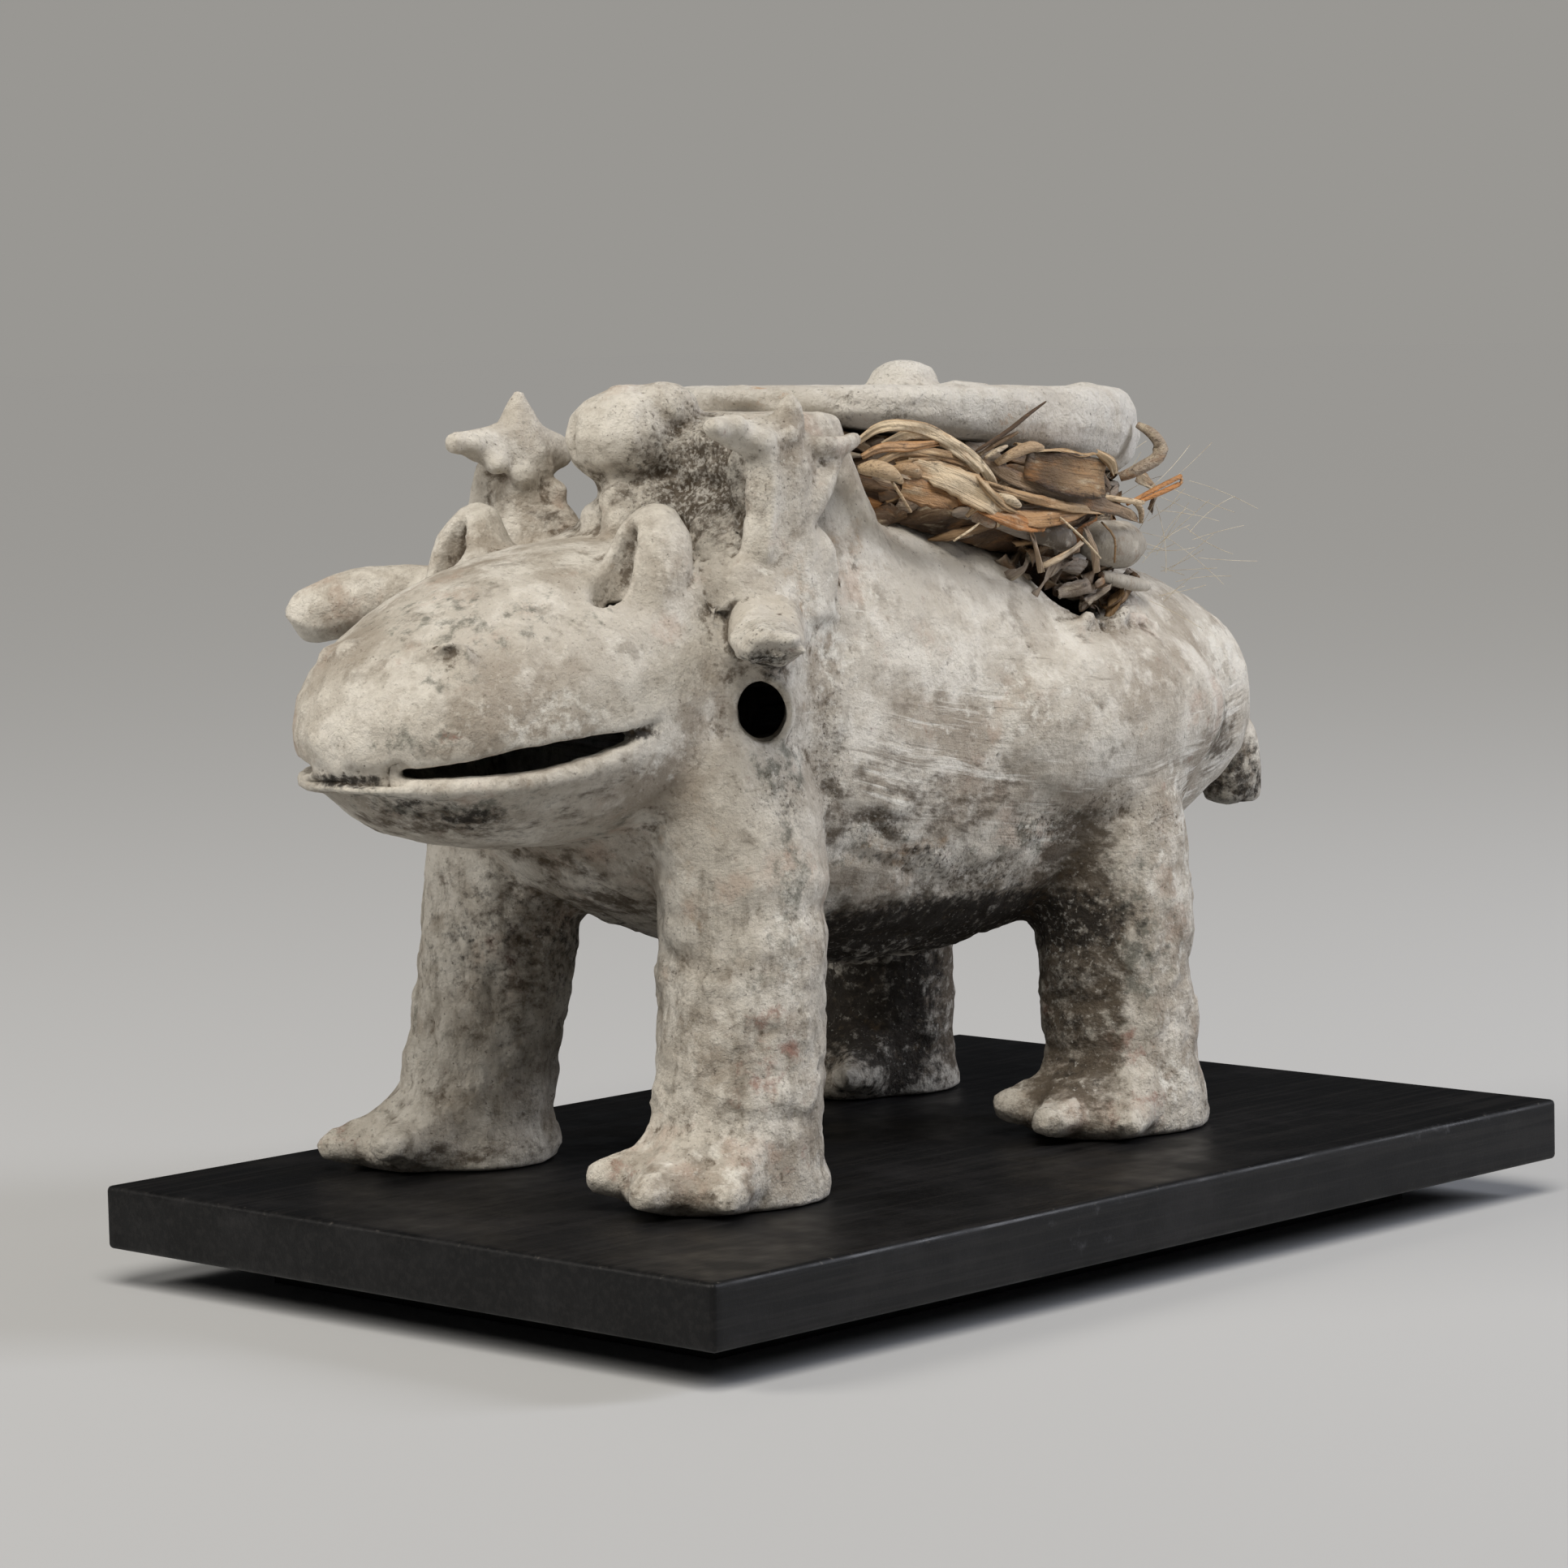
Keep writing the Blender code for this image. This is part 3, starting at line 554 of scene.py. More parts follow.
# Weathered grey husk, dusted with the clay wash
greyLook = {
    "base": "#8f877b",
    "layers": [
        {"colour": "#5c534a", "where": "tone", "low": 0.5, "high": 0.0, "amount": 0.85},
        {"colour": "#b9b2a6", "where": "tone", "low": 0.5, "high": 1.0, "amount": 0.9},
        {"colour": "#cfc8bb", "grain": 9, "low": 0.5, "high": 0.68, "amount": 0.6, "seed": 62.0,
         "detail": 8},
        {"colour": "#7d6046", "grain": 8, "low": 0.55, "high": 0.72, "amount": 0.55, "seed": 63.0,
         "detail": 8},
        {"colour": "#4f463c", "grain": 2.5, "stretch": (1, 1, 3), "low": 0.56, "high": 0.7,
         "amount": 0.5, "seed": 61.0, "detail": 6},
    ],
    "bumps": [{"grain": 3, "stretch": (1, 1, 3), "height": 0.9, "seed": 61.0, "detail": 6}],
    "roughness": (0.7, 0.9),
    "ior": 1.5,
    "specular": 0.3,
}
greyHusk = surfaceMaterial("grey_husk", greyLook)

# Dark dry twig with a cracked bark
twigLook = {
    "fibre": True,
    "base": "#4a3a2c",
    "layers": [
        {"colour": "#6e543c", "grain": 1.2, "stretch": (1, 8, 1), "low": 0.5, "high": 0.7,
         "amount": 0.8, "seed": 71.0, "detail": 3},
    ],
    "bumps": [{"grain": 1.2, "stretch": (1, 8, 1), "height": 0.3, "seed": 71.0}],
    "roughness": (0.7, 0.85),
    "ior": 1.5,
    "specular": 0.3,
}
darkTwig = surfaceMaterial("dark_twig", twigLook)

# Softwood board under a thin coat of satin black paint: the grain still shows and the edges are rubbed
woodLook = {
    "base": "#0c0c0d",
    "layers": [
        {"colour": "#1b1a1a", "grain": 4, "stretch": (1, 40, 1), "low": 0.46, "high": 0.62,
         "amount": 0.8, "seed": 81.0, "detail": 6},
        {"colour": "#222122", "grain": 70, "low": 0.5, "high": 0.7, "amount": 0.6, "seed": 82.0,
         "detail": 5},
        {"colour": "#6b6660", "grain": 4, "where": "wear", "swing": 3.0, "low": 0.85, "high": 1.5,
         "amount": 0.7, "seed": 83.0, "detail": 7},
        {"colour": "#56565a", "where": "smudge", "grain": 9, "swing": 2.5, "low": 0.6, "high": 1.3,
         "amount": 0.5, "seed": 84.0, "detail": 6},
        {"colour": "#3a3837", "grain": 1.6, "low": 0.66, "high": 0.74, "amount": 0.5, "seed": 85.0,
         "detail": 3},
    ],
    "bumps": [
        {"grain": 4, "stretch": (1, 40, 1), "height": 0.25, "seed": 81.0, "detail": 6},
        {"grain": 2.0, "height": 0.08, "seed": 86.0, "detail": 4},
    ],
    "roughness": (0.36, 0.58),
    "roughnessGrain": 30,
    "ior": 1.5,
    "specular": 0.24,
}
blackWood = surfaceMaterial("black_painted_wood", woodLook)
print("materials ready")

# Beast

# Mesh fineness, most triangles, how high each kind of relief stands in millimetres, and number of clods
beastSize = {
    "voxel": 2.1, "triangles": 190000, "lump": 1.0, "knead": 0.8, "leg": 1.4, "grit": 0.42,
    "stroke": 0.4, "flake": 0.6, "wrinkle": 0.7, "crumb": 2.5,
    "clods": 46,
}

# Colour spots: x, y, z, reach along each axis, strength
beastSpots = {
    "moss": [
        (20, -240, 266, 60, 60, 18, 0.55), (0, -108, 352, 30, 14, 16, 0.6),
        (44, -278, 246, 16, 12, 10, 0.8), (34, -300, 216, 16, 12, 9, 0.9),
        (50, -290, 219, 14, 12, 9, 0.8), (17, -292, 190, 30, 22, 12, 0.8),
        (42, -276, 184, 26, 26, 14, 0.9), (65, -250, 190, 14, 22, 14, 0.4),
        (42, -276, 245, 14, 10, 12, 0.6), (110, -136, 196, 18, 20, 18, 0.8),
        (119, -142, 150, 14, 12, 40, 0.8), (116, -150, 110, 12, 12, 40, 0.5),
        (97, 185, 185, 16, 30, 20, 0.6), (113, 92, 95, 26, 26, 45, 0.8), (20, 296, 150, 26, 26, 22, 0.7),
        (100, -68, 160, 20, 30, 16, 0.6), (104, 40, 150, 18, 50, 12, 0.7),
        (60, -200, 160, 40, 20, 20, 0.5), (-123, -190, 60, 30, 40, 60, 0.5),
        (-90, 140, 60, 40, 40, 70, 0.5), (90, -20, 120, 40, 90, 14, 0.5),
    ],
    "rust": [
        (55, -289, 218, 8, 7, 5, 1.0), (113, -166, 57, 14, 10, 16, 0.9), (117, -152, 68, 12, 10, 12, 0.8),
        (115, -159, 84, 10, 10, 10, 0.6), (116, 88, 40, 16, 14, 14, 0.9), (128, 84, 12, 18, 20, 12, 1.0),
        (100, 88, 110, 16, 16, 30, 0.6), (65, -206, 18, 12, 10, 10, 0.9),
        (-120, -205, 18, 16, 14, 10, 0.8), (-60, -158, 110, 14, 20, 24, 0.5),
        (72, 82, 60, 16, 14, 40, 0.5), (-80, -150, 150, 20, 20, 20, 0.4),
        (100, 140, 190, 20, 30, 20, 0.35), (-82, -110, 300, 12, 16, 12, 0.7),
        (105, -40, 150, 14, 50, 12, 0.4), (-60, 112, 30, 20, 20, 20, 0.7), (92, -150, 20, 40, 50, 8, 0.4),
    ],
    "tan": [
        (100, -118, 262, 20, 26, 36, 0.5), (95, -60, 150, 20, 60, 12, 0.5),
        (88, -40, 281, 16, 40, 24, 0.35), (98, 95, 262, 18, 40, 16, 0.5), (82, -60, 300, 20, 30, 18, 0.4),
        (-95, -120, 250, 30, 40, 30, 0.4), (80, -178, 150, 30, 16, 40, 0.35),
    ],
    # dark earth: some real dirt, and painted shade under the belly, head and collar, on the rear legs and the
    # tail
    "dirt_and_shade": [
        (34, -108, 325, 34, 16, 26, 1.0), (36, -100, 300, 34, 22, 20, 0.9),
        (-20, -120, 300, 40, 20, 14, 0.8), (60, -130, 290, 26, 20, 14, 0.6),
        (96, -96, 200, 10, 10, 46, 0.7), (99, -94, 165, 14, 18, 22, 0.7), (0, -172, 150, 46, 20, 20, 0.6),
        (-50, -149, 106, 8, 8, 10, 0.7), (60, 85, 100, 30, 30, 70, 0.6),
        (107, -144, 240, 16, 14, 14, 0.7), (92, -20, 128, 20, 90, 12, 0.5),
        (-60, 112, 70, 30, 30, 80, 0.7), (-70, -150, 110, 30, 30, 60, 0.5), (0, 40, 90, 90, 160, 20, 0.7),
        (98, 88, 262, 14, 24, 12, 0.8), (85, -188, 10, 60, 40, 7, 0.7), (110, 90, 8, 50, 50, 7, 0.7),
        (-80, -170, 8, 60, 60, 8, 0.8), (-70, 120, 10, 60, 60, 10, 0.8), (30, -112, 338, 34, 30, 12, 0.9),
        (0, -230, 178, 70, 60, 14, 0.5), (48, -120, 316, 40, 28, 36, 1.3),
        (0, -146, 324, 34, 26, 14, 0.9), (98, -20, 170, 14, 80, 24, 0.75),
        (99, -60, 186, 10, 40, 20, 0.6), (60, 0, 100, 60, 120, 16, 0.6), (116, -160, 240, 16, 16, 8, 0.9),
        (80, -215, 196, 20, 20, 14, 0.5), (70, 250, 170, 40, 30, 14, 0.5),
        (20, -250, 180, 60, 60, 12, 0.8), (70, 0, 112, 60, 110, 24, 1.0), (94, 70, 80, 30, 24, 88, 1.9),
        (-90, 130, 60, 60, 60, 90, 1.5), (20, 300, 145, 34, 34, 30, 1.0), (98, 185, 185, 18, 26, 16, 0.9),
        (46, -108, 322, 44, 22, 34, 1.0), (-70, -110, 306, 20, 20, 12, 0.6),
        (104, 78, 240, 8, 16, 7, 0.8), (98, 118, 240, 10, 14, 8, 0.9), (-60, -150, 90, 30, 20, 60, 0.6),
        (0, -150, 130, 60, 30, 20, 0.8),
    ],
    # painted shade: mouth slit, nostril, ear holes, lug underside, flank ledge, belly, tail and far rear leg
    "painted_shade": [
        (116, -156, 242, 14, 14, 10, 1.0), (44, -280, 254, 5, 5, 5, 0.9),
        (108, -140, 244, 12, 12, 10, 0.9), (26, -290, 186, 26, 14, 8, 0.7),
        (45, -270, 182, 20, 18, 8, 0.8), (-6, -310, 199.5, 26, 10, 3.4, 1.2),
        (16, -308, 200, 20, 10, 3.4, 1.2), (82, -206, 216, 12, 14, 3.4, 1.2),
        (18, 300, 146, 34, 34, 30, 0.75), (-70, 112, 50, 40, 34, 90, 1.3), (94, 72, 70, 22, 14, 80, 0.55),
        (132, -172, 248, 14, 10, 6, 1.0), (76, 0, 104, 60, 120, 20, 1.7), (-60, 0, 110, 60, 200, 40, 0.8),
        (96, -40, 148, 10, 40, 5, 0.5), (99, 30, 130, 10, 50, 6, 0.6), (118, -140, 176, 10, 10, 14, 0.5),
        (62, -181, 288, 6, 10, 16, 0.5), (-60, -190, 288, 6, 10, 16, 0.5),
    ],
    "chalk": [
        (140, -170, 270, 16, 14, 9, 1.0), (119, -148, 130, 8, 8, 36, 0.7), (105, 0, 205, 14, 60, 30, 0.4),
        (128, 112, 25, 14, 16, 18, 0.9), (119, -188, 18, 16, 14, 8, 0.8), (100, -188, 26, 24, 14, 8, 0.6),
        (70, -240, 222, 30, 50, 18, 0.8), (92, -190, 205, 24, 24, 22, 0.7),
        (92, -120, 258, 26, 34, 30, 0.8), (102, -90, 235, 12, 20, 26, 0.6),
        (122, 112, 100, 10, 20, 60, 0.5), (90, 230, 210, 30, 30, 30, 0.5),
        (-130, -185, 268, 26, 24, 14, 0.4), (0, -128, 362, 26, 24, 14, 0.5),
        (30, -285, 206, 60, 30, 5, 0.6), (134, -172, 268, 16, 12, 12, 1.2),
        (104, -96, 252, 10, 18, 30, 1.0), (110, 40, 212, 20, 70, 26, 0.7),
        (96, -60, 270, 20, 40, 26, 0.5), (95, 200, 230, 30, 40, 26, 0.8),
        (118, 130, 140, 12, 16, 90, 0.7), (120, -146, 120, 8, 10, 70, 0.7),
    ],
}

# Dents and pits: x, y, z, radius, depth
beastDents = [
    (44, -281, 255, 4.6, 6.5), (97, -118, 337, 4.5, 3.0), (93, -149, 341, 4, 2.5),
    (-72, -112, 318, 6, 2.5), (120, -164, 243, 7, 4), (132, -172, 244, 8, 5), (141, -168, 246, 6, 4),
    (92, -130, 358, 9, 5), (92, -91, 357, 10, 9), (92, -76, 352, 8, 4), (84, -90, 356, 9, 6),
    (-68, -100, 292, 4, 2), (112, 119, 187, 5, 2.2), (-50, -149, 106, 8, 3.5), (30, -274, 254, 4, 2.0),
    (60, -262, 233, 3, 1.0), (106, 30, 262, 3, 1.6), (104, -20, 235, 2.5, 1.2), (104, 92, 246, 4, 5.0),
    (84, -240, 243, 3, 1.0), (90, -30, 282, 4, 1.2), (121, 95, 60, 5, 1.5), (88, -186, 92, 4, 1.2),
    (70, -178, 130, 5, 1.2), (44, -102, 310, 7, 3), (22, -112, 326, 6, 3), (90, -190, 48, 7, 1.8),
    (118, -150, 42, 6, 1.5), (110, 76, 70, 8, 2), (122, 112, 150, 6, 2), (-84, -172, 130, 9, 2),
    (-104, -170, 84, 8, 2),
]

# Cracks: lines of points with a width and a depth
beastCracks = [
    ([(-36, -174, 158), (-18, -174, 152), (4, -173, 148), (16, -166, 140), (26, -152, 132)], 2.2, 2.4),
    ([(88, -260, 240), (86, -258, 228), (87, -256, 216)], 1.4, 0.8),
    ([(-8, -150, 357), (-9, -152, 348), (-8, -151, 338)], 2.0, 3.0),
    ([(104, -104, 212), (101, -98, 200), (104, -104, 190), (100, -96, 178)], 3.0, 1.6),
    # the slit of the mouth, carried on to both of its ends
    ([(-26, -305, 199), (-16, -309, 199), (-4, -312, 199), (9, -311, 199.5), (22, -306, 201),
      (32, -301, 203)], 3.4, 9.0),
    ([(70, -226, 212), (78, -214, 214.5), (85, -204, 217), (90, -196, 219)], 2.3, 5.0),
    # shadowed step where the flank overhangs the belly
    ([(97, -82, 152), (95, -50, 142), (93, -10, 128), (98, 30, 128), (106, 66, 144)], 4.0, 3.0),
    # wrinkles and furrows of the legs
    ([(80, -192, 108), (96, -190, 100), (112, -176, 102), (122, -156, 110)], 3.2, 1.8),
    ([(86, -190, 88), (100, -188, 80), (114, -174, 84), (122, -158, 80)], 3.0, 1.6),
    ([(84, -190, 70), (100, -186, 62), (116, -170, 66)], 3.2, 1.6),
    ([(-92, -176, 112), (-86, -178, 92), (-90, -178, 70)], 2.6, 2.2),
    ([(-64, -172, 96), (-60, -172, 74)], 3.2, 2.4),
    ([(96, 62, 96), (104, 62, 78), (100, 60, 58)], 3.0, 1.6),
    ([(110, 76, 40), (122, 84, 34), (130, 100, 38)], 2.6, 1.6),
    # lower edge of the flank, and a scratch above it
    ([(100, -92, 176), (98, -60, 160), (96, -20, 136), (97, 20, 138), (108, 60, 150),
      (116, 96, 156)], 3.4, 1.6),
    ([(100, -40, 262), (104, -20, 252), (104, 0, 246)], 1.3, 0.8),
]

# Crumbling clay, rough and broken: x, y, z, reach along each axis and strength
beastCrumbs = [
    (46, -120, 322, 50, 26, 40, 1.2), (20, -118, 310, 30, 16, 18, 1.0), (48, -112, 302, 26, 20, 16, 1.0),
    (24, -108, 350, 26, 12, 14, 0.9), (100, -68, 164, 16, 26, 10, 0.9), (97, -25, 143, 14, 36, 8, 0.9),
    (95, 7, 134, 14, 32, 9, 0.9), (105, 47, 152, 16, 30, 12, 0.9), (121, 108, 152, 14, 30, 12, 0.7),
    (114, 80, 160, 14, 26, 12, 0.7), (103, -102, 198, 10, 12, 40, 0.6), (112, -140, 190, 16, 16, 18, 0.6),
    (98, 94, 250, 18, 24, 12, 0.9), (132, -170, 248, 18, 16, 6, 1.0), (60, 0, 92, 60, 120, 12, 0.35),
    (132, -172, 262, 24, 20, 14, 0.45), (-30, -120, 300, 30, 16, 14, 0.8), (82, 82, 100, 30, 24, 60, 0.4),
    (-70, -130, 100, 24, 24, 60, 0.4), (50, -288, 188, 26, 16, 8, 0.35), (0, 296, 150, 26, 24, 16, 0.4),
]

# Dips of the near shoulder, filled like those of the flank
shoulderDips = [(84, -146, 278, 34, 46, 34, 1.2), (98, -96, 290, 24, 46, 60, 1.2)]


def figureForms(shape):
    # near shoulder figure: knuckled ridge of its arms, thin web under the arm, ribs of its robe
    addLumps(shape, [
        ((89, -156, 350), (6, 7, 5)), ((91, -144, 351), (6, 6, 5)), ((93, -131, 344), (7, 8, 8)),
        ((95, -115, 345), (6, 7, 6)), ((94, -101, 341), (5, 5, 5)), ((94, -128, 336), (5, 6, 5)),
    ])
    addRoll(shape, [(95, -98, 340, 6.5), (94, -82, 340, 5.5), (92, -70, 341, 4.5), (91, -66, 342, 2.5)])
    addRoll(shape, [(92, -78, 336, 4), (94, -88, 327, 5), (94, -99, 316, 7), (92, -110, 304, 8)])
    addLumps(shape, [
        ((90, -124, 318), (9, 13, 22)), ((90, -122, 296), (10, 19, 24)), ((86, -126, 276), (14, 28, 20)),
        ((76, -138, 278), (16, 22, 14)), ((68, -132, 290), (14, 14, 14)), ((94, -104, 280), (8, 20, 26)),
        ((60, -126, 298), (16, 12, 16)), ((92, -110, 352), (7, 8, 12)),
    ])
    addRoll(shape, [(97, -128, 332, 1.8), (98, -130, 310, 2.4), (98, -134, 290, 2)], 1, 8)
    addRoll(shape, [(98, -117, 330, 1.6), (99, -116, 308, 2.2), (101, -112, 288, 2)], 1, 8)
    # star figure: lumps under its arms and the one at its foot
    addLumps(shape, [
        ((-76, -136, 332), (6, 7, 6)), ((-73, -122, 326), (6, 8, 6)), ((-74, -108, 329), (6, 7, 7)),
        ((-82, -146, 342), (7, 8, 6)), ((-67, -106, 300), (10, 12, 12)), ((-70, -104, 316), (6, 6, 8)),
    ])
    # far figure on the far flank, plainer
    addRoll(shape, [(-92, -128, 330, 5), (-97, -130, 300, 6), (-98, -132, 270, 6)])


def ballForms(shape, clods):
    # ball, its upper lobe, and the clods where it meets the collar
    addLump(shape, (-1, -131, 344), (25, 23, 22))
    addLump(shape, (14, -114, 358), (17, 15, 12))
    for place, size in (
        ((7, -138, 314), 11), ((19, -129, 314), 11), ((-10, -134, 305), 11), ((28, -122, 308), 12),
        ((42, -118, 306), 11), ((12, -142, 304), 11), ((26, -116, 332), 11), ((-22, -128, 300), 9),
    ):
        addLump(shape, place, (size, size * 0.8, size))
    # mass of clay and chaff that fills the gap between the ball and the near figure
    addLumps(shape, [
        ((30, -108, 330), (22, 15, 22)), ((46, -106, 337), (20, 15, 16)), ((60, -108, 330), (18, 14, 20)),
        ((42, -114, 308), (24, 15, 16)), ((66, -116, 306), (18, 14, 18)), ((76, -122, 326), (10, 12, 18)),
    ])
    for k in range(beastSize["clods"]):
        turn = math.radians(clods.uniform(-100, -20))
        size = clods.uniform(3, 6)
        place = (10 + 68 * math.cos(turn), -72 + 50 * math.sin(turn), clods.uniform(298, 350))
        addLump(shape, place, (size, size * 0.8, size * 0.9))


def headForms(shape):
    # outer foot of each ear, drawn smoothly into the head
    for side in (1, -1):
        addLump(shape, (side * 68, -168, 266), (14, 22, 16))
        addLump(shape, (side * 64, -150, 276), (13, 15, 13))
    # broken near lug: knobs on top and a ragged lower edge
    for place, size in (
        ((132, -174, 263), 8), ((141, -168, 262), 7), ((118, -168, 260), 9), ((139, -171, 250), 5),
        ((128, -174, 251), 4.5), ((118, -170, 251), 5), ((143, -163, 254), 5),
    ):
        addLump(shape, place, (size, size, size * 0.8))
    # thin lip round each ear hole
    for side in (1, -1):
        ring = []
        for k in range(17):
            turn = math.tau * k / 16
            aside = 14.0 * math.cos(turn)
            ring.append((side * (99 + aside * 0.67), -142 + aside * 0.743, 222 + 16.0 * math.sin(turn), 2.6))
        addRoll(shape, ring, sides=10)
    # nostril rim and the fainter bump of the other one
    for k in range(12):
        turn = math.tau * k / 12
        place = (42 + 7.0 * math.cos(turn), -276 + 3.8 * math.cos(turn), 253 + 6.0 * math.sin(turn))
        addLump(shape, place, (2.6, 2.6, 2.4))
    addLump(shape, (-16, -283, 254), (9, 9, 7))


def holeForms(shape, clods):
    # crumbs at the lower lip of the broken hole
    for k in range(16):
        size = clods.uniform(2, 4.2)
        place = (103 - 0.12 * k + clods.uniform(-3, 1), 72 + 4 * k, 250 + clods.uniform(-4, 3) - 0.25 * k)
        addLump(shape, place, (size, size * 1.5, size * 0.8), (clods.uniform(-40, 40), 0, 0))


def beastForms(shape):
    # folds, bumps and rims that are too fine for the solid
    clods = random.Random(5)
    figureForms(shape)
    ballForms(shape, clods)
    headForms(shape)
    holeForms(shape, clods)


def carve(places, dents, cracks):
    # how far each point sinks into the dents and the wavering cracks, in millimetres below 0
    moved = np.zeros(len(places))
    for x, y, z, radius, depth in dents:
        far = np.sqrt(((places - (x, y, z)) ** 2).sum(axis=1)) / radius
        moved -= depth * np.exp(-far ** 2)
    for line, width, depth in cracks:
        rows = np.array(smoothPath(line, 8))
        jitter = fieldAt(rows, 6, 3.0)
        rows = rows + jitter[:, None] * 1.2
        nearest = np.full(len(places), 1e9)
        for row in rows:
            nearest = np.minimum(nearest, ((places - row) ** 2).sum(axis=1))
        moved -= depth * np.exp(-nearest / width ** 2)
    return moved


def flankShare(places):
    # 1 on the brushed flanks, 0 on head, legs, back and rump
    x, y, z = places.T
    share = ramp(np.abs(x), 58, 80) * ramp(y, -98, -73) * ramp(z, 124, 154)
    return share * ramp(z, 296, 262) * ramp(y, 245, 195)


def flowPlaces(places):
    # places bent so that the brush strokes follow the barrel and never run quite straight
    bent = places.copy()
    bent[:, 2] += 16 * np.sin((places[:, 1] + 40) / 85) + 5 * fieldAt(places, 60, 18.0, octaves=2)
    return bent


def drawOverDips(piece):
    # clay drawn over the dips of flank, shoulder and rump
    places, normals = pointsOf(piece)
    x, y, z = places.T
    barrel = ramp(np.abs(x), 46, 66) * ramp(y, -98, -73) * ramp(z, 136, 166) * ramp(z, 292, 262)
    barrel = np.maximum(barrel, nearSpots(places, shoulderDips))
    dips = np.clip(hollows(piece, 160), 0, 10) * barrel * (normals[:, 0] * x > 0)
    places += normals * dips[:, None]
    # broken top of the near lug, pressed down
    lug = ramp(x, 94, 116) * ramp(np.abs(y + 172), 40, 26)
    places[:, 2] -= lug * 0.34 * np.clip(z - 248, 0, 30)
    movePoints(piece, places)


def roughenBeast(piece):
    # hand-kneaded relief, deeper on the legs and flat on the toes
    places, normals = pointsOf(piece)
    z = places[:, 2]
    flank = flankShare(places)
    legs = ramp(z, 150, 110)
    toes = np.clip(z / 50, 0.12, 1)
    moved = beastSize["lump"] * fieldAt(places, 28, 1.0, octaves=2)
    moved += beastSize["knead"] * fieldAt(places, 12, 2.0, octaves=2) * (0.7 + legs * toes * 1.4)
    moved += beastSize["leg"] * legs * toes * fieldAt(places, 24, 8.0, (1, 1, 0.6), 2)
    gritty = 0.7 + 0.8 * legs * toes - 0.4 * flank
    moved += beastSize["grit"] * fieldAt(places, 5.0, 3.0, octaves=2) * gritty
    moved += beastSize["stroke"] * flank * fieldAt(flowPlaces(places), 6.5, 4.0, (4, 13, 1), 3)
    # flaked wash: flat scales with a sharp edge
    scales = fieldAt(places, 22, 5.0, octaves=3)
    moved += beastSize["flake"] * np.clip((scales - 0.12) / 0.05, 0, 1) * (0.4 + legs)
    moved += beastSize["wrinkle"] * legs * fieldAt(places, 8, 6.0, (5, 5, 1), 2)
    moved += beastSize["crumb"] * nearSpots(places, beastCrumbs) * fieldAt(places, 7.5, 7.0, octaves=3)
    moved += carve(places, beastDents, beastCracks)
    # the soles stay flat
    keep = ramp(z, 1, 7)
    movePoints(piece, places + normals * (moved * keep)[:, None])


def paintBeast(piece):
    # masks for the layers of the clay's colour
    places = pointsOf(piece)[0]
    z = places[:, 2]
    fine, broad = hollows(piece, 4), hollows(piece, 30)
    flank = flankShare(places)
    # masks for painted shade in the hollows, over earth, and painted highlight on the ridges
    setField(piece, "hollow", np.clip(fine / 0.9, 0, 1) * 0.75 + np.clip(broad / 5, 0, 1) * 0.35)
    setField(piece, "ridge_highlight", np.clip(-fine / 0.9, 0, 1) * 0.7 + np.clip(-broad / 6, 0, 1) * 0.3)
    crumbs = nearSpots(places, beastCrumbs)
    setField(piece, "grime", 0.3 + 0.1 * ramp(z, 150, 110) + 0.7 * crumbs - 0.1 * flank)
    setField(piece, "legs", np.clip((170 - z) / 60, 0, 0.75))
    patches = np.clip(0.85 + 0.9 * fieldAt(places, 40, 19.0, (1, 2, 1), 2), 0.3, 1)
    setField(piece, "strokes", flank * patches * np.clip((250 - z) / 60, 0.3, 1))
    setPlaces(piece, "flow", flowPlaces(places))
    for name, spots in beastSpots.items():
        setField(piece, name, nearSpots(places, spots))


def makeBeast():
    piece = skinOver("beast_clay", "beast", beastForms, beastSize["voxel"], 4, chalkyClay)
    drawOverDips(piece)
    roughenBeast(piece)
    thinOut(piece, beastSize["triangles"])
    paintBeast(piece)


makeBeast()
print("beast ready")

# Lid: its middle, front edge, length and top on the beast, in millimetres

lidMiddle, lidFront, lidLength, lidTop = 66, -56, 244, 366
lidSize = {"voxel": 1.9, "triangles": 90000, "lump": 2.0, "knead": 1.2, "grit": 0.7}
lidSpots = {
    "tan": [(14, -53, 362, 18, 8, 6, 0.75), (-30, -40, 366, 20, 10, 5, 0.4), (92, 40, 345, 10, 20, 8, 0.5)],
    # darker patches near the crack and along the lid's near side
    "dirt_and_shade": [(58, -38, 358, 10, 6, 12, 0.6), (94, 120, 330, 10, 30, 12, 0.5), (80, -20, 352, 20, 20, 8, 0.5)],
    "chalk": [(90, 30, 350, 16, 40, 14, 0.6), (92, 120, 345, 16, 40, 18, 0.6), (0, 66, 374, 24, 24, 12, 0.6)],
}
lidDents = [
    (97, 96, 338, 3, 2.0), (96, 132, 330, 4, 1.6), (92, 60, 346, 2.5, 1.4), (70, 172, 340, 5, 2.0),
    (40, 0, 366, 6, 1.4), (-20, 100, 363, 8, 1.5), (60, 120, 361, 5, 1.2), (-60, 60, 364, 7, 1.5),
]
lidCracks = [
    ([(50, -42, 366), (56, -42, 360), (60, -40, 354), (66, -38, 348)], 1.6, 1.6),
    ([(30, 30, 366), (54, 60, 364), (70, 100, 362)], 1.4, 0.8),
]


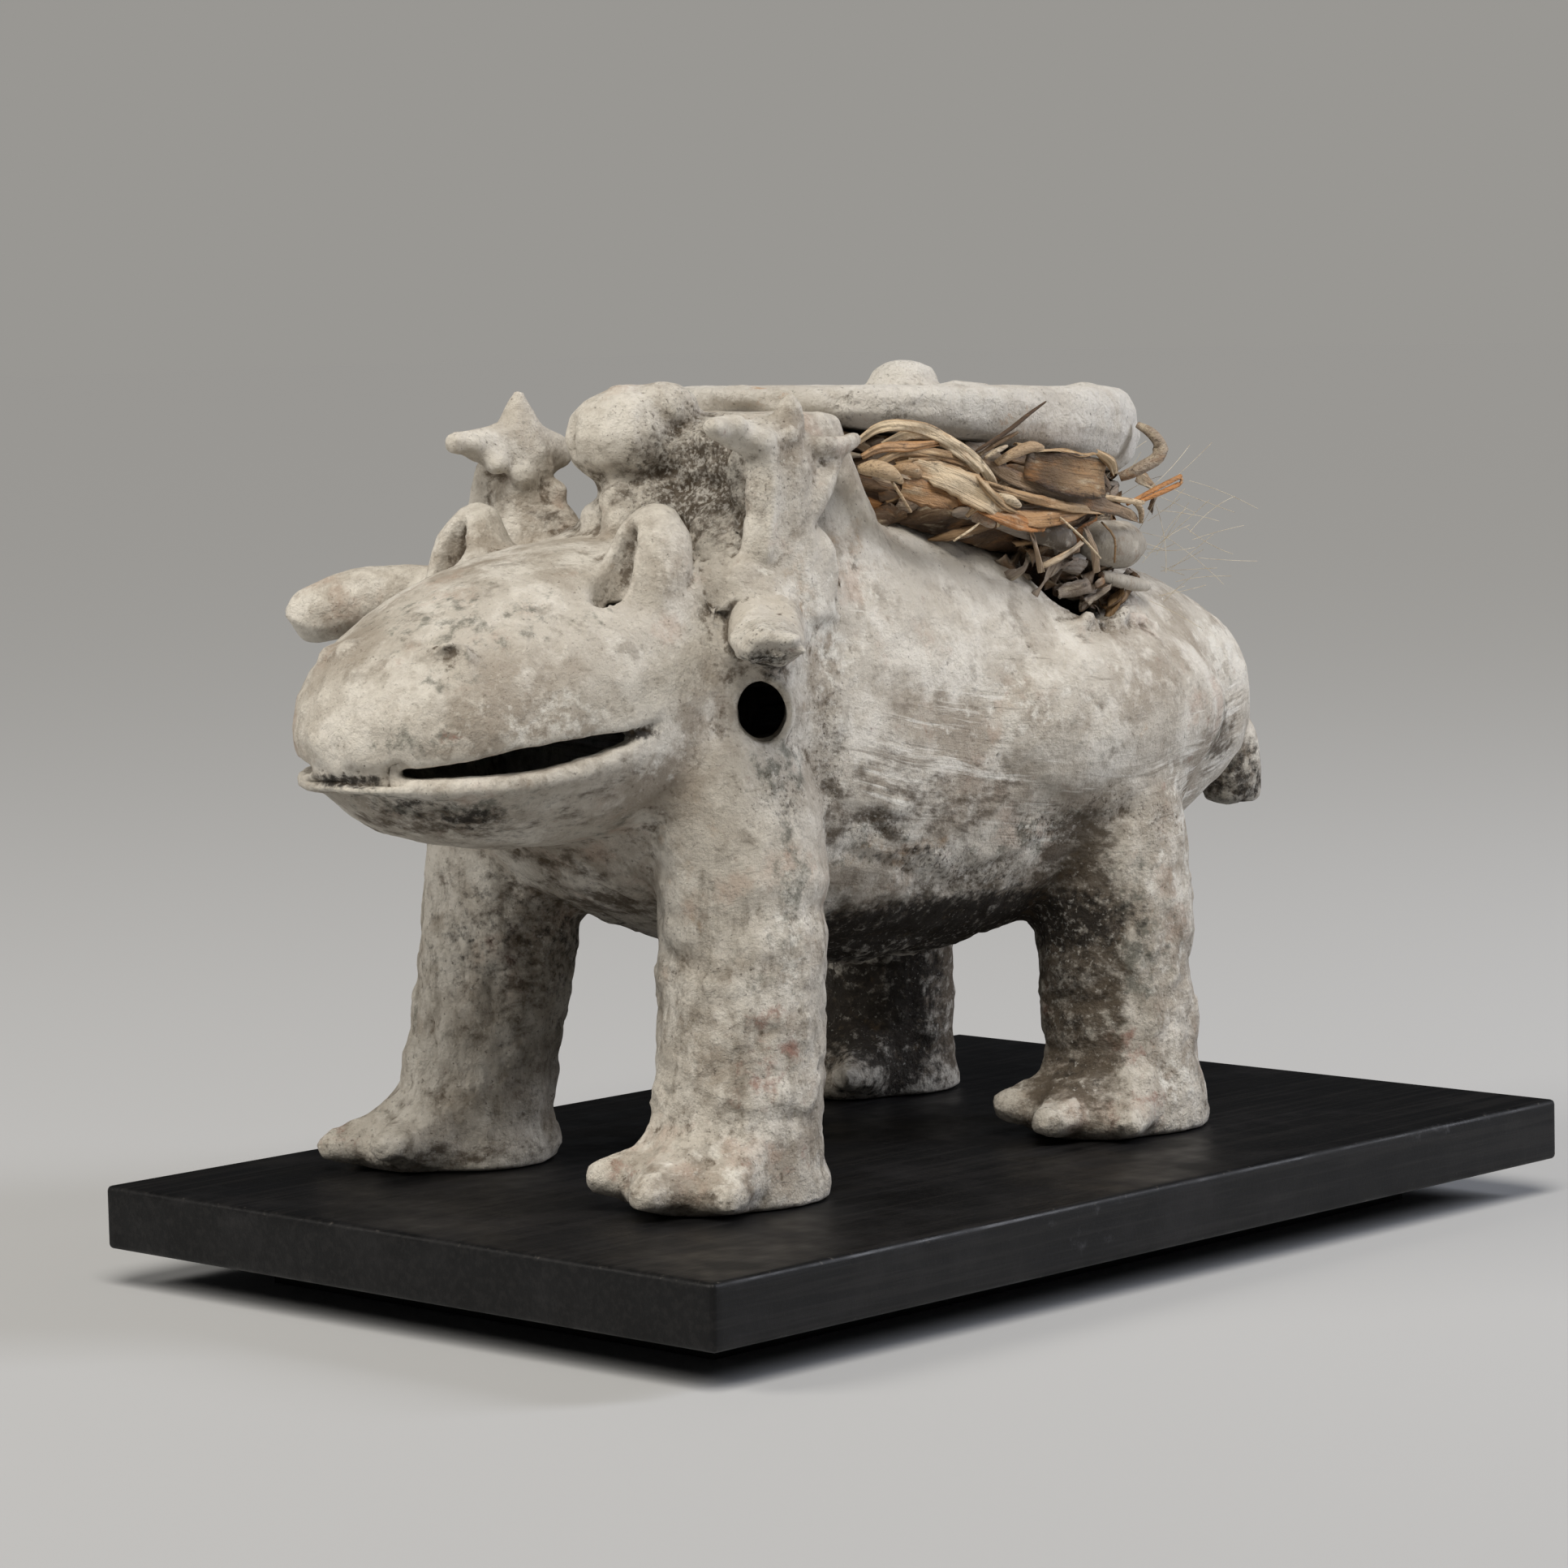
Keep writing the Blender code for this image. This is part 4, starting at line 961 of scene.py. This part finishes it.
def lidForms(shape):
    # uneven swellings of the slab's rim, and a steeper knob
    swells = random.Random(12)
    count = 12
    for k in range(count):
        turn = math.tau * (k + swells.uniform(-0.25, 0.25)) / count
        x, y = 80 * math.cos(turn), lidMiddle + 102 * math.sin(turn)
        along = (y - lidFront) / lidLength
        thick = 16 + 30 * along
        z = lidTop - 8 * along - thick * swells.uniform(0.4, 0.6)
        addLump(shape, (x, y, z), (20, 30, thick * 0.5), (0, 0, math.degrees(turn)))
    addLump(shape, (0, lidMiddle, lidTop), (17, 17, 9.5))
    addLump(shape, (5, -52, 361), (20, 8, 6))


def makeLid():
    piece = skinOver("lid_clay", "back_lid", lidForms, lidSize["voxel"], 3, lidClay)
    places, normals = pointsOf(piece)
    moved = lidSize["lump"] * fieldAt(places, 26, 11.0, octaves=2)
    moved += lidSize["knead"] * fieldAt(places, 11, 12.0, octaves=2)
    moved += lidSize["grit"] * fieldAt(places, 5, 13.0, octaves=2)
    moved += carve(places, lidDents, lidCracks)
    # the underside lies on the husks and stays as it is, and the top face stays nearly level
    moved *= np.clip(normals[:, 2] * 4 + 1.5, 0, 1)
    moved *= 1 - 0.6 * np.clip(normals[:, 2] * 3 - 2, 0, 1)
    movePoints(piece, places + normals * moved[:, None])
    thinOut(piece, lidSize["triangles"])
    places = pointsOf(piece)[0]
    fine, broad = hollows(piece, 4), hollows(piece, 30)
    # masks for painted shade in the hollows, over earth, and painted highlight on the ridges
    setField(piece, "hollow", np.clip(fine / 0.6, 0, 1) * 0.75 + np.clip(broad / 3.5, 0, 1) * 0.5)
    setField(piece, "ridge_highlight", np.clip(-fine / 0.6, 0, 1) * 0.7 + np.clip(-broad / 4.0, 0, 1) * 0.4)
    for name, spots in lidSpots.items():
        setField(piece, name, nearSpots(places, spots))


makeLid()
print("lid ready")

# Husks: the wad under the lid and every leaf that stands out of it

# Mesh fineness, most triangles, mean radius, height of the folds and how far the skin is drawn in
wadSize = {"voxel": 2.2, "triangles": 60000, "radius": 95, "fold": 2.2, "inset": 1.5}
leafSize = {"thickness": 0.35, "rib": 0.16, "ribPitch": 1.7, "ripple": 0.8, "crease": 0.7}
shades = ("tone", "amber", "ash")


def makeWad():
    piece = skinOver("husk_bundle", "husk_wad", None, wadSize["voxel"], 1, maizeHusk)
    places, normals = pointsOf(piece)
    turn = np.arctan2(places[:, 1] - lidMiddle, places[:, 0])
    around = turn * wadSize["radius"]
    rolled = np.stack([around, places[:, 2] * 2.5 + 12 * np.sin(turn * 5), np.zeros(len(turn))], axis=1)
    moved = wadSize["fold"] * fieldAt(rolled, 16, 14.0, (3, 1, 1), 3)
    inner = (np.abs(places[:, 0]) < 62) & (np.abs(places[:, 1] - lidMiddle) < 82)
    moved[inner] = 0
    movePoints(piece, places + normals * (moved - wadSize["inset"])[:, None])
    thinOut(piece, wadSize["triangles"])
    places = pointsOf(piece)[0]
    turn = np.arctan2(places[:, 1] - lidMiddle, places[:, 0])
    across = places[:, 2] + 5 * np.sin(turn * 7)
    setPlaces(piece, "fibre", np.stack([across, turn * wadSize["radius"], places[:, 0] * 0.02], axis=1))
    # the bundle painted near black: painted shade behind the loose leaves
    setField(piece, "tone", 0.04 + 0.1 * fieldAt(places, 14, 15.0))


def shade(shape, vert, part, more=0.0):
    for name in shades:
        value = part.get(name, 0.0) + (more if name == "tone" else 0)
        vert[shape.verts.layers.float[name]] = min(1, max(0, value))


def leafInto(shape, part, seed, rows=5, across=9):
    # one leaf: stations x, y, z, half width, cup and turn in degrees, with its face out from the lid
    # jag tears its edges
    chance = random.Random(seed)
    fibreLayer = shape.verts.layers.float_vector["fibre"]
    path = smoothPath(part["path"], rows)
    centres = [spot(*row[:3]) for row in path]
    hub = spot(0, lidMiddle, 0)
    phase = chance.uniform(0, 9)
    jag = part.get("jag", 0.06)
    length = 0.0
    grid = []
    for i, row in enumerate(path):
        if i:
            length += (centres[i] - centres[i - 1]).length
        ahead = (centres[min(i + 1, len(path) - 1)] - centres[max(i - 1, 0)]).normalized()
        out = Vector((centres[i].x - hub.x, centres[i].y - hub.y, 0.0001)).normalized()
        face = (out - ahead * out.dot(ahead)).normalized()
        face = Matrix.Rotation(math.radians(row[5]), 3, ahead) @ face
        side = ahead.cross(face)
        wides = [row[3] * (1 + chance.uniform(-jag, jag)) for _ in (0, 1)]
        fade = 0.1 * math.sin(length / mm * 0.07 + phase)
        line = []
        for k in range(across):
            u = 2 * k / (across - 1) - 1
            wide = wides[u > 0]
            rib = leafSize["rib"] * math.cos(u * wide / leafSize["ribPitch"] * math.tau + phase)
            ripple = leafSize["ripple"] * math.sin(length / mm * 0.21 + phase + u * 2.0)
            # one sharp crease along the leaf, off its middle
            crease = max(0.0, 1 - abs(u - 0.4 * math.sin(phase)) * 3) * min(1, wide / 3)
            ripple -= leafSize["crease"] * crease
            rise = row[4] * (1 - u * u) + rib + ripple
            here = centres[i] + (side * wide * u + face * rise) * mm
            half = face * leafSize["thickness"] / 2 * mm * (1 - 0.6 * abs(u))
            pair = []
            for sign in (1, -1):
                vert = shape.verts.new(here + half * sign)
                vert[fibreLayer] = Vector((u * wide * mm, length, seed * 0.05))
                shade(shape, vert, part, fade - 0.3 * abs(u) ** 6)
                pair.append(vert)
            line.append(pair)
        grid.append(line)
    for low, high in zip(grid, grid[1:]):
        for k in range(across - 1):
            shape.faces.new((low[k][0], low[k + 1][0], high[k + 1][0], high[k][0]))
            shape.faces.new((low[k + 1][1], low[k][1], high[k][1], high[k + 1][1]))
        shape.faces.new((low[0][1], low[0][0], high[0][0], high[0][1]))
        shape.faces.new((low[-1][0], low[-1][1], high[-1][1], high[-1][0]))
    for row in (grid[0], grid[-1]):
        for k in range(across - 1):
            shape.faces.new((row[k][0], row[k][1], row[k + 1][1], row[k + 1][0]))


def rollInto(shape, part, seed):
    # one stem, tube or pod: stations x, y, z and radius
    before = len(shape.verts)
    addRoll(shape, part["path"], part.get("squash", 1.0), 12)
    fibreLayer = shape.verts.layers.float_vector["fibre"]
    start = spot(*part["path"][0][:3])
    for vert in list(shape.verts)[before:]:
        away = vert.co - start
        vert[fibreLayer] = Vector((away.z, away.y, away.x + seed * 0.05))
        shade(shape, vert, part)


def newLeafShape():
    shape = bmesh.new()
    shape.verts.layers.float_vector.new("fibre")
    for name in shades:
        shape.verts.layers.float.new(name)
    return shape


def finishLeaves(shape, name, finish, node=None):
    bmesh.ops.recalc_face_normals(shape, faces=shape.faces)
    mesh = bpy.data.meshes.new(name)
    shape.to_mesh(mesh)
    shape.free()
    mesh.shade_smooth()
    piece = addMesh(name, mesh, finish)
    if node:
        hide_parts(node)
    return piece


# Husks of the near side, each piece with its CAD node or none, and its parts from the inside out:
# a leaf has six numbers a station, a stem or pod four
huskPieces = {
    "fan_leaves": ("fan_husk", [
        {"tone": 0.6, "path": [
            (95, -56, 330, 1.5, 0, 0), (99, -42, 335, 2.4, 1, 0), (102, -25, 333, 2.6, 1, 0),
            (102, -6, 329, 2.4, 1, 0), (100, 9, 323, 1.2, 0, 0),
        ]},
        {"tone": 0.5, "path": [
            (97, -46, 330, 1.5, 0, 0), (100, -33, 331, 2.2, 1, 0), (101, -19, 329, 2.2, 1, 0),
            (100, 0, 325, 1.0, 0, 0),
        ]},
        {"tone": 0.7, "amber": 0.5, "path": [
            (92, -64, 333, 1.4, 0, 0), (97, -55, 337, 2.2, 1, 0), (101, -39, 337, 2.4, 1, 8),
            (103, -22, 338, 1.2, 0, 0),
        ]},
        {"tone": 1.0, "path": [
            (94, -52, 338, 1.6, 0, 0), (99, -38, 343, 2.8, 1, 6), (102, -24, 341, 3.0, 1, 6),
            (104, -11, 334, 2.8, 1, 0), (103, 6, 323, 1.4, 0, 0),
        ]},
        {"tone": 1.0, "path": [
            (90, -64, 340, 1.4, 0, 0), (97, -58, 346, 2.4, 1, 6), (101, -47, 347, 2.8, 1, 6),
            (103, -30, 344, 3.0, 1, 0), (104, -14, 337, 2.8, 1, 0), (103, 3, 329, 2.6, 1, 0),
            (101, 14, 321, 2.2, 1, 0), (98, 22, 315, 1.2, 0, 0),
        ]},
    ]),
    "seed_pod_smooth": ("seed_pod", [
        {"tone": 0.7, "path": [
            (98, -73, 328, 1.6), (100, -70, 328, 3.2), (102, -65, 328, 4.0), (103, -58, 326, 3.7),
            (102, -51, 323, 2.4), (101, -47, 321, 1.2),
        ]},
        {"tone": 0.5, "ash": 0.3, "path": [
            (98, -49, 327, 1.6), (101, -43, 327, 3.0), (100, -36, 325, 2.8), (98, -31, 323, 1.4),
        ]},
        {"tone": 0.7, "path": [(102, -55, 322, 0.7), (104, -51, 315, 0.8), (102, -42, 307, 0.6)]},
    ]),
    "torn_leaves": ("torn_strip", [
        {"tone": 0.3, "amber": 0.35, "jag": 0.12, "path": [
            (98, -44, 318, 4.5, 0, 0), (101, -32, 315, 6.0, 1, -6), (102, -18, 312, 4.8, 1, -8),
            (101, -10, 308, 2, 0, 0),
        ]},
        {"tone": 0.35, "amber": 0.8, "path": [
            (106, -6, 311, 2.2, 0, -10), (108, 8, 304, 3.4, 1, -16), (108, 30, 298, 3.6, 1, -20),
            (105, 48, 295, 1.6, 0, -10),
        ]},
        {"tone": 0.95, "jag": 0.16, "path": [
            (98, -40, 329, 3.4, 0, 0), (104, -26, 324, 5.6, 1, -6), (107, -8, 317, 7.0, 1, -12),
            (108, 8, 309, 6.2, 1, -16), (106, 22, 302, 3.4, 0, -16),
        ]},
        {"tone": 0.6, "path": [
            (107, -3, 322, 1.4, 1, 0), (110, 4, 314, 2.2, 2, 20), (110, 13, 308, 2.2, 2, 20),
            (108, 23, 304, 1.2, 1, 0),
        ]},
        {"tone": 0.95, "ash": 0.25, "squash": 0.8, "path": [
            (109, 11, 312, 2.0), (111, 17, 310, 3.0), (110, 24, 307, 1.8),
        ]},
    ]),
    "long_leaves": ("long_strip", [
        {"tone": 0.2, "ash": 0.35, "path": [
            (99, 12, 328, 2.0, 0, 0), (103, 28, 320, 3.8, 1, 0), (106, 56, 311, 4.4, 1, 0),
            (107, 82, 306, 4.2, 1, 0), (106, 106, 300, 3.0, 1, 0), (103, 120, 295, 1.2, 0, 0),
        ]},
        {"tone": 0.6, "ash": 0.2, "path": [
            (104, 8, 318, 1.4, 0, 0), (107, 32, 311, 2.2, 1, 0), (108, 60, 305, 2.4, 1, 0),
            (106, 90, 301, 1.4, 0, 0),
        ]},
        {"tone": 0.5, "amber": 0.35, "path": [
            (104, 18, 303, 1.6, 0, 0), (107, 36, 300, 4.2, 1, -10), (106, 60, 300, 3.4, 1, -10),
            (102, 84, 301, 0.8, 0, 0),
        ]},
        {"tone": 0.8, "path": [(105, 86, 309, 1.0), (107, 104, 306, 1.5), (105, 121, 304, 1.1)]},
        {"tone": 0.7, "ash": 0.4, "path": [
            (101, 120, 304, 1.3), (102, 123, 300, 1.6), (101, 124, 294, 1.0),
        ]},
    ]),
    "folded_leaf_ribbed": ("folded_leaf", [
        {"tone": 0.6, "ash": 0.35, "path": [
            (102, 18, 327, 1.6), (105, 26, 331, 2.6), (106, 38, 334, 2.8), (106, 46, 333, 1.8),
        ]},
        {"tone": 0.6, "path": [
            (99, 36, 334, 5, 1, -78), (104, 50, 332, 6, 1, -78), (105, 68, 330, 6, 1, -78),
            (102, 88, 328, 4, 1, -78),
        ]},
        {"tone": 0.2, "jag": 0.03, "path": [
            (105, 35, 325, 6.0, 0, -4), (110, 50, 322, 9.5, -1, -4), (111, 68, 319, 10.5, -1, -4),
            (109, 84, 317, 9.5, -1, -4), (107, 91, 316, 7.5, 0, -4),
        ]},
        {"tone": 0.65, "path": [
            (109, 82, 330, 1.6, 1, 0), (110, 91, 325, 2.4, 2, 20), (107, 98, 319, 1.8, 1, 30),
        ]},
        {"tone": 0.15, "path": [(102, 5, 331, 0.9), (105, 17, 337, 1.2), (104, 31, 341, 0.8)]},
        {"tone": 1.0, "ash": 0.5, "squash": 0.7, "path": [
            (104, 8, 330, 1.0), (106, 14, 333, 1.9), (106, 21, 335, 1.0),
        ]},
    ]),
    "rear_leaf_curled": ("rear_leaf", [
        {"tone": 0.6, "ash": 0.75, "squash": 0.75, "path": [
            (88, 138, 341, 2.2), (94, 141, 337, 3.6), (98, 143, 331, 4.0), (98, 141, 325, 4.2),
            (95, 134, 321, 4.2), (92, 128, 318, 3.8), (88, 124, 316, 3.0),
        ]},
        {"tone": 0.4, "ash": 0.4, "path": [
            (76, 150, 316, 3, 1, 0), (72, 166, 311, 4, 2, 0), (64, 178, 304, 4, 2, 0),
            (54, 187, 296, 2, 1, 0),
        ]},
    ]),
    "splinter_straw": ("splinter", [
        {"tone": 0.75, "amber": 1.0, "path": [
            (94, 122, 303, 0.9), (97, 141, 310, 1.2), (95, 162, 315, 1.1),
        ]},
        {"tone": 0.6, "amber": 1.0, "path": [
            (95, 126, 303, 0.9), (98, 144, 308, 1.3), (95, 160, 311, 1.2),
        ]},
        {"tone": 0.85, "amber": 0.6, "path": [
            (95, 160, 315, 0.8), (95, 163, 313, 0.9), (95, 161, 311, 0.8),
        ]},
    ]),
    "curl_and_straws": (None, [
        {"tone": 0.85, "path": [
            (103, -5, 303, 0.8, 0, 0), (106, -1, 307, 1.4, 1, 0), (107, 6, 307, 1.5, 1, 0),
            (107, 13, 303, 1.4, 1, 0), (105, 15, 297, 0.8, 0, 0),
        ]},
        {"tone": 0.6, "ash": 0.9, "path": [
            (101, 1, 302, 1.6), (104, 5, 302, 3.2), (105, 9, 300, 3.0), (103, 13, 298, 1.4),
        ]},
        {"tone": 0.95, "path": [(101, -12, 292, 0.5), (104, -3, 297, 0.6), (105, 2, 300, 0.4)]},
        {"tone": 0.95, "path": [(107, 57, 300, 0.5), (110, 69, 290, 0.6), (108, 85, 279, 0.5)]},
        {"tone": 0.6, "ash": 0.6, "path": [
            (101, 82, 294, 1.6, 0, 0), (103, 85, 285, 3.2, 2, 0), (102, 89, 272, 1.8, 1, 0),
        ]},
        {"tone": 0.75, "ash": 0.5, "path": [
            (101, 42, 295, 1.0, 0, 0), (103, 44, 286, 1.8, 1, 0), (101, 50, 274, 1.4, 0, 0),
        ]},
        {"tone": 0.8, "ash": 0.5, "path": [
            (101, 51, 277, 1.2, 0, 0), (104, 62, 281, 1.8, 1, 0), (102, 79, 287, 1.0, 0, 0),
        ]},
        {"tone": 0.3, "path": [(103, 92, 296, 0.5), (106, 98, 288, 0.6), (104, 100, 276, 0.5)]},
    ]),
}


def makeHuskPieces():
    seed = 100
    for name, (node, parts) in huskPieces.items():
        shape = newLeafShape()
        for part in parts:
            if len(part["path"][0]) == 4:
                rollInto(shape, part, seed)
            else:
                leafInto(shape, part, seed)
            seed += 1
        finishLeaves(shape, name, maizeHusk, node)


# Loose leaves: lean, half length and half width in millimetres, torn edge, and the room they fill
# under the lid; each band has its first and last angle round the lid in degrees and a number of leaves
looseSize = {
    "lean": 0.45, "reach": (10, 34), "wide": (1.6, 6.0), "jag": 0.12,
    "top": 350, "drop": 38, "bottom": 284, "nearOut": 84, "out": 88,
}
looseBands = {"near_leaves": (-78, 78, 64), "rear_leaves": (75, 130, 36), "far_leaves": (130, 285, 96)}
looseTones = (0.2, 0.35, 0.5, 0.6, 0.75, 0.9)


def makeLooseLeaves():
    # many small leaves wound round under the lid's edge
    seed = 300
    for name, (start, end, count) in looseBands.items():
        shape = newLeafShape()
        near = name == "near_leaves"
        for k in range(count):
            chance = random.Random(seed)
            turn = math.radians(start + (end - start) * (k + chance.random()) / count)
            lean = chance.uniform(-looseSize["lean"], looseSize["lean"])
            reach = chance.uniform(*looseSize["reach"])
            height = chance.uniform(0.05, 0.95)
            wide = chance.uniform(*looseSize["wide"])
            # near leaves painted dark: painted shade under the lid's edge and behind the front leaves
            tone = chance.uniform(0.0, 0.25) if near else chance.choice(looseTones)
            stations = []
            for step in (-1, -0.4, 0.3, 1):
                angle = turn + step * reach / 100
                along = lidMiddle + 106 * math.sin(angle)
                under = looseSize["top"] - looseSize["drop"] * (along - lidFront) / lidLength
                low = looseSize["bottom"] + 14 * abs(math.sin(angle))
                z = low + (under - low) * height + step * reach * lean
                out = looseSize["nearOut" if near else "out"] + chance.uniform(-3, 5)
                out += (2 if near else 6) * (1 - step * step)
                x = out * math.copysign(abs(math.cos(angle)) ** 0.85, math.cos(angle))
                y = lidMiddle + (out + 19) * math.copysign(abs(math.sin(angle)) ** 0.85, math.sin(angle))
                half = wide * (1 - 0.7 * step ** 4)
                cup, lie = chance.uniform(0.5, 3), chance.uniform(-35, 35)
                stations.append((x, y, min(z, under + 1), half, cup, lie))
            part = {"path": stations, "tone": tone, "amber": chance.choice((0, 0, 0, 0.5))}
            part["ash"] = chance.choice((0, 0, 0.4, 0.8))
            part["jag"] = looseSize["jag"]
            leafInto(shape, part, seed, rows=4, across=7)
            seed += 1
        finishLeaves(shape, name, maizeHusk)


# Number of leaves, first seed, half length and half width in millimetres, and torn edge
stuffingSize = {"count": 44, "seed": 700, "reach": (7, 15), "wide": (1.5, 5), "jag": 0.2}


def makeStuffing():
    # crumpled dark leaves pressed into the broken hole, painted dark as the shade inside it
    shape = newLeafShape()
    for k in range(stuffingSize["count"]):
        chance = random.Random(stuffingSize["seed"] + k)
        y = chance.uniform(52, 134)
        x = 90 - abs(y - 84) * 0.12 + chance.uniform(-8, 5)
        z = 286 - (y - 50) * 0.3 + chance.uniform(-14, 5)
        turn, reach = chance.uniform(-1.2, 1.2), chance.uniform(*stuffingSize["reach"])
        stations = []
        for step in (-1, -0.3, 0.4, 1):
            aside = x + chance.uniform(-3, 3)
            place = (aside, y + step * reach * math.cos(turn), z + step * reach * math.sin(turn))
            wide = chance.uniform(*stuffingSize["wide"])
            stations.append((*place, wide, chance.uniform(0, 2), chance.uniform(-60, 60)))
        part = {"path": stations, "tone": chance.uniform(0.05, 0.35), "ash": chance.choice((0, 0.3, 0.7))}
        part["jag"] = stuffingSize["jag"]
        leafInto(shape, part, stuffingSize["seed"] + k, rows=3, across=7)
    finishLeaves(shape, "dark_stuffing", maizeHusk)


# Twig and lumps: CAD node, finish, its slot, tone, squash, height of bumps in millimetres, then
# stations x, y, z and radius
roundPieces = {
    "twig_bark": ("twig", darkTwig, "dark_twig", 0.4, 1.0, 0.2, [
        (103, 2, 333, 0.8), (106, 22, 342, 1.1), (103, 40, 349, 0.9), (101, 56, 355, 0.5),
    ]),
    "scoop_grey": ("grey_scoop", greyHusk, "grey_husk", 0.1, 1.0, 1.0, [
        (92, 52, 291, 3), (97, 60, 291, 5.5), (98, 68, 289, 6), (96, 78, 287, 4),
    ]),
    "lump_grey": ("round_lump", greyHusk, "grey_husk", 0.75, 0.95, 1.2, [
        (84, 96, 286, 6), (89, 104, 286, 11), (90, 114, 284, 12.5), (88, 126, 283, 12), (84, 137, 282, 6),
    ]),
    "tube_grey": ("small_tube", greyHusk, "grey_husk", 0.85, 1.0, 0.3, [
        (90, 106, 269, 2.8), (93, 114, 267, 3.6), (92, 128, 264, 3.7), (90, 142, 262, 2.6),
    ]),
    # dark disc in the tube's open end: painted shade inside the tube
    "tube_mouth": (None, darkTwig, "dark_twig", 0.1, 1.0, 0.1, [
        (90, 104, 269.5, 0.8), (91, 105.5, 269.2, 2.0), (92, 107, 269, 0.8),
    ]),
}


def rollPiece(name, node, finish, slot, tone, squash, bumps, stations):
    shape = newLeafShape()
    rollInto(shape, {"path": stations, "tone": tone, "squash": squash}, 7)
    piece = finishLeaves(shape, name, finish, node)
    grown = piece.modifiers.new("finer", "SUBSURF")
    grown.levels = grown.render_levels = 2
    applyModifiers(piece)
    places, normals = pointsOf(piece)
    movePoints(piece, places + normals * (bumps * fieldAt(places, 6, 16.0, (1, 3, 1), 3))[:, None])


def makeLumps():
    for name, values in roundPieces.items():
        rollPiece(name, *values)


# Dry silk of the husk: pale straw, a little shiny
hairLook = {
    "base": "#d8cdb6",
    "layers": [
        {"colour": "#a8926c", "grain": 6, "low": 0.45, "high": 0.65, "amount": 0.7, "seed": 91.0,
         "detail": 3},
    ],
    "bumps": [{"grain": 1, "height": 0.02, "seed": 5.0}],
    "roughness": (0.45, 0.6),
    "ior": 1.5,
    "specular": 0.5,
}
hairStraw = surfaceMaterial("pale_silk", hairLook)

# Number of hairs, radius and length in millimetres, and steps along each
hairSize = {"count": 40, "radius": 0.12, "reach": (12, 38), "steps": 7}


def makeHairs():
    # pale fibres that stand off the rear of the bundle, thicker than real ones so that they show
    data = bpy.data.curves.new("pale_hairs", "CURVE")
    data.dimensions = "3D"
    data.bevel_depth = hairSize["radius"] * mm
    data.bevel_resolution = 1
    chance = random.Random(77)
    for k in range(hairSize["count"]):
        y = chance.uniform(118, 186)
        start = Vector((chance.uniform(64, 96), y, chance.uniform(252, 318)))
        lean = Vector((chance.uniform(0.1, 0.7), chance.uniform(0.0, 0.9), chance.uniform(-0.4, 0.9)))
        lean.normalize()
        reach = chance.uniform(*hairSize["reach"])
        line = data.splines.new("POLY")
        line.points.add(hairSize["steps"])
        bend = Vector((chance.uniform(-1, 1), chance.uniform(-1, 1), chance.uniform(-1, 1))) * reach * 0.25
        for i in range(hairSize["steps"] + 1):
            t = i / hairSize["steps"]
            place = start + lean * reach * t + bend * t * t
            line.points[i].co = (*spot(*place), 1)
    hairs = bpy.data.objects.new("pale_hairs", data)
    bpy.context.scene.collection.objects.link(hairs)
    data.materials.append(hairStraw)
    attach(hairs, "root")


makeWad()
makeHuskPieces()
makeLooseLeaves()
makeStuffing()
makeLumps()
makeHairs()
print("husks ready")

# Board and its foot

# Round of the edges, mesh grid and width of the rubbed paint in millimetres
boardSize = {"round": 2.5, "grid": 6.0, "worn": 5.0}
boardSmudges = [(217, -60, -14, 20, 40, 20, 0.6), (217, 200, -2, 10, 60, 8, 0.6)]


def makeBoard():
    low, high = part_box("board")
    shape = bmesh.new()
    bmesh.ops.create_cube(shape, size=1)
    size, middle = high - low, (high + low) / 2
    shape.transform(Matrix.Translation(middle) @ Matrix.Diagonal((*size, 1)))
    for axis in range(3):
        steps = max(1, round(size[axis] / (boardSize["grid"] * mm)))
        for k in range(1, steps):
            place = low.copy()
            place[axis] += size[axis] * k / steps
            normal = Vector((0, 0, 0))
            normal[axis] = 1
            geometry = shape.verts[:] + shape.edges[:] + shape.faces[:]
            bmesh.ops.bisect_plane(shape, geom=geometry, plane_co=place, plane_no=normal)
    mesh = bpy.data.meshes.new("board_wood")
    shape.to_mesh(mesh)
    shape.free()
    piece = addMesh("board_wood", mesh, blackWood)
    rounded = piece.modifiers.new("rubbed edges", "BEVEL")
    rounded.width = boardSize["round"] * mm
    rounded.segments = 3
    rounded.angle_limit = math.radians(40)
    applyModifiers(piece)
    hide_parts("board")
    piece.data.shade_smooth()
    # paint rubbed through along the edges, where two faces are near
    places = pointsOf(piece)[0]
    low, high = (np.array(v) / mm - np.array([middleX / mm, 0, soleZ / mm]) for v in (low, high))
    order = np.sort(np.minimum(places - low, high - places), axis=1)
    edge = np.clip(1 - (order[:, 0] + order[:, 1]) / boardSize["worn"], 0, 1)
    setField(piece, "wear", edge * 0.9)
    setField(piece, "smudge", nearSpots(places, boardSmudges))


makeBoard()
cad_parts["board_foot"].data.materials.clear()
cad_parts["board_foot"].data.materials.append(blackWood)
print("board ready")
